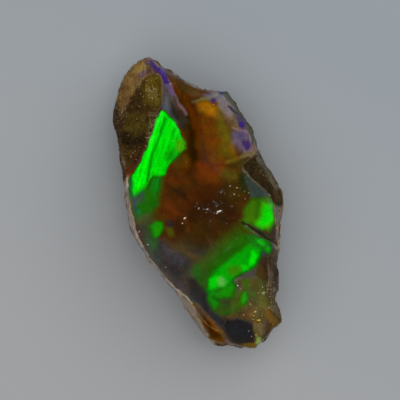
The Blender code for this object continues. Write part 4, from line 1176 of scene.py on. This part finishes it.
def opalFinish():
    look = opalLook
    material, graph = newFinish("opal")
    place = inMillimetres(graph)
    crust, dull, fibrous = [painted(graph, name) for name in ("crust", "dull", "level")]
    tone, flash = [painted(graph, name, "Vector") for name in ("stoneColour", "flashColour")]
    mottle, dust, drift = [plainNoise(graph, place, *look[name]) for name in ("mottle", "dust", "drift")]
    blotch, grit, wave = [plainNoise(graph, place, *look[name]) for name in ("blotch", "grit", "wave")]
    streak, fibre = [stretchedNoise(graph, place, *look[name]) for name in ("streak", "fibre")]

    # Cloudy mottling in the glass, redder and more olive by turns
    haze = graph.add("ShaderNodeSeparateXYZ", None, {"Vector": tone})["Z"].between(*look["hazeBlue"])
    hue = graph.mixColour(drift.between(0.38, 0.62), look["redHue"], look["oliveHue"])
    varied = graph.mixColour(0.9 - haze * 0.6, tone, hue, "MULTIPLY")
    brightness = look["bodyGain"] * (0.66 + mottle.between(0.30, 0.70) * 0.64 + (dust - 0.5) * 0.8)

    # Flashes, with fine streaks in the bright facet
    inKite = graph.add("ShaderNodeSeparateXYZ", None, {"Vector": place})["Y"].between(*look["kiteStart"])
    streaked = (streak.between(0.34, 0.62) - 0.6) * 0.40 * inKite
    flicker = 0.98 + streaked + (mottle - 0.5) * 0.9 + (dust - 0.5) * 0.7
    strength = graph.add("ShaderNodeVectorMath", {"operation": "LENGTH"}, {0: flash})["Value"]
    flashed = strength.between(*look["flashEdge"])
    body = graph.scaled(varied, brightness * (1 - flashed))
    lit = graph.mixColour(1.0, graph.scaled(body, look["bodyGlow"]), graph.scaled(flash, flicker), "ADD")

    # Grainy crust, drawn out in fibres where it is level, with pale and dark crumbs
    crumb = graph.add("ShaderNodeTexVoronoi", None, {"Vector": place, "Scale": look["crumbScale"]})
    crumbTone = graph.add("ShaderNodeSeparateColor", None, {"Color": crumb["Color"]})["Red"]
    drawn = blotch + (fibre - blotch) * 0.6 * fibrous
    grain = crumbTone * 0.25 + drawn.between(0.38, 0.62) + blotch.between(0.3, 0.7) * 0.45
    grain = grain + grit.between(0.3, 0.7) * 0.6
    rust = graph.mixColour(blotch.between(0.42, 0.62), look["rustHue"], look["greyHue"])
    earthy = graph.mixColour(1.0, graph.scaled(tone, grain * look["crustGain"]), rust, "MULTIPLY")

    crustBump = bump(graph, *look["crustBump"], grit + drawn * 0.7 + crumbTone * 0.25)
    glassBump = bump(graph, *look["glassBump"], wave + streak * 0.15)
    crustShader = principled(graph, {
        "Base Color": earthy, "Roughness": look["crustRoughness"] - crumbTone * 0.25, "Normal": crustBump,
        "Specular IOR Level": 0.15})
    bodyShader = principled(graph, {
        "Base Color": body, "Roughness": 0.35, "Normal": glassBump, "Coat Weight": look["gloss"] * (1 - dull),
        "Coat Roughness": 0.03, "Coat IOR": look["index"], "Specular IOR Level": 0.0, "Emission Color": lit,
        "Emission Strength": look["flashPower"]})
    glassShader = principled(graph, {
        "Base Color": look["clearTint"], "Roughness": 0.06, "IOR": look["index"], "Transmission Weight": 1.0,
        "Normal": glassBump})
    clear = look["clarity"] * (1 - flashed) * (1 - haze) * (1 - dull)
    window = graph.add("ShaderNodeMixShader", None, {0: clear, 1: bodyShader, 2: glassShader})[0]
    surface = graph.add("ShaderNodeMixShader", None, {0: crust, 1: window, 2: crustShader})[0]
    water = graph.add("ShaderNodeVolumeAbsorption", None, {"Color": look["waterTint"],
                                                           "Density": look["waterDensity"]})[0]
    graph.add("ShaderNodeOutputMaterial", None, {"Surface": surface, "Volume": water})
    return material


def grainFinish():
    # Crumbs in the colour of the crust below them, some of them pale
    material, graph = newFinish("crustGrain")
    grainTone = painted(graph, "grainTone")
    grit = plainNoise(graph, inMillimetres(graph), 6.0, 3.0)
    earthy = graph.scaled(painted(graph, "stoneColour", "Vector"), 0.5 + grainTone * 1.1 + (grit - 0.5) * 0.5)
    colour = graph.mixColour(grainTone.between(0.92, 0.99) * 0.3, earthy, rgb(206, 190, 146))
    return plainFinish(material, graph, {"Base Color": colour, "Roughness": 0.75 - grainTone * 0.3,
                                         "Specular IOR Level": 0.15})


def sparkleFinish():
    material, graph = newFinish("sparkle")
    grit = plainNoise(graph, inMillimetres(graph), 9.0, 2.0)
    lightness = (painted(graph, "grainTone") + (grit - 0.5)).clamped()
    colour = graph.mixColour(lightness, rgb(150, 122, 48), rgb(236, 226, 184))
    return plainFinish(material, graph, {"Base Color": colour, "Roughness": 0.35, "Specular IOR Level": 0.5})


# The chips' white, pink and gold tones are painted highlights
def chipGlintFinish():
    material, graph = newFinish("glintingChip")
    grit = plainNoise(graph, inMillimetres(graph), 9.0, 2.0)
    colour = graph.scaled(painted(graph, "chipGlintTone", "Vector"), 0.75 + grit * 0.5)
    return plainFinish(material, graph, {"Base Color": colour, "Roughness": 0.3, "Coat Weight": 0.6})


def floorFinish():
    material, graph = newFinish("paleFloor")
    place = graph.add("ShaderNodeSeparateXYZ", None, {"Vector": graph.add("ShaderNodeTexCoord")["Object"]})
    # Painted light: the floor is lighter and less blue towards minus x and minus y, darker and bluer the
    # other way
    tone = graph.mixColour((0.5 - (place["X"] + place["Y"]) * 12.0).clamped(), *studio["floorTones"])
    return plainFinish(material, graph, {"Base Color": tone, "Roughness": 0.85, "Specular IOR Level": 0.2})


# Camera, light and floor

studio = {
    "floorSize": 3.0,
    "floorTones": ((0.385, 0.43, 0.475, 1.0), (0.46, 0.475, 0.495, 1.0)),
    "lampDistance": 0.60,
    "skyNear": (0.24, 0.25, 0.26, 1.0),
    "skyTop": (0.05, 0.053, 0.058, 1.0),
    # Each lamp: to the right and up in the picture, height, power, size, colour, whether gloss shows it
    "lamps": {
        "keyLamp": (0.70, 0.62, 1.05, 2.25, 0.85, (1.0, 0.985, 0.96), False),
        "fillLamp": (-0.30, -0.16, 1.0, 2.2, 0.90, (1.0, 0.975, 0.94), False),
        "glintLamp": (-0.098, -0.13, 1.0, 0.012, 0.008, (1.0, 0.98, 0.95), True),
    },
}


def makeCamera():
    data = bpy.data.cameras.new("photoCamera")
    data.lens = photo["lens"]
    data.sensor_width = photo["sensor"]
    data.clip_start, data.clip_end = 0.01, 20.0
    camera = added("photoCamera", data)
    camera.location = (photo["centre"][0] * mm, photo["centre"][1] * mm, (photo["plane"] + cameraAway) * mm)
    camera.rotation_euler = (0, 0, -leanTurn)
    bpy.context.scene.camera = camera


def makeLamp(name, right, up, height, power, size, colour, inGloss):
    # A soft lamp. One that gloss doesn't show lights the stone as through a polariser
    data = bpy.data.lights.new(name, "AREA")
    data.shape = "DISK"
    data.size = size
    data.energy = power
    data.color = colour
    lamp = added(name, data)
    way = (pictureRight * right + pictureUp * up + Vector((0, 0, height))).normalized()
    lamp.location = way * studio["lampDistance"]
    lamp.rotation_euler = way.to_track_quat("Z", "Y").to_euler()
    lamp.visible_glossy = inGloss


def makeStudio():
    for name, lamp in studio["lamps"].items():
        makeLamp(name, *lamp)
    world = bpy.data.worlds.new("studioWorld")
    world.use_nodes = True
    graph = Graph(world.node_tree)
    way = graph.add("ShaderNodeTexCoord")["Generated"]
    height = graph.add("ShaderNodeSeparateXYZ", None, {"Vector": way})["Z"].between(0.0, 0.75)
    sky = graph.mixColour(height, studio["skyNear"], studio["skyTop"])
    back = graph.add("ShaderNodeBackground", None, {"Color": sky, "Strength": 1.0})[0]
    graph.add("ShaderNodeOutputWorld", None, {"Surface": back})
    bpy.context.scene.world = world
    bpy.context.scene.view_settings.view_transform = "Standard"
    half = studio["floorSize"] / 2
    mesh = bpy.data.meshes.new("floor")
    corners = [(-half, -half, 0), (half, -half, 0), (half, half, 0), (-half, half, 0)]
    mesh.from_pydata(corners, [], [(0, 1, 2, 3)])
    mesh.materials.append(floorFinish())
    floor = added("floor", mesh)


makeCamera()
makeStudio()
print("studio ready")
stone = makeStone(opalFinish())
grains = scatterTree()
scattered = {
    "crustGrains": grown(added("crustGrains", stone.data.copy()), grains, crustGrains, grainFinish()),
    "sparkles": grown(added("sparkles", stone.data.copy()), grains, sparkles, sparkleFinish()),
    "glintingChips": makeGlintingChips(stone, chipGlintFinish()),
}
finished(stone, "roughOpal")
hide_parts("rough_opal")
for name, piece in scattered.items():
    finished(piece, name)
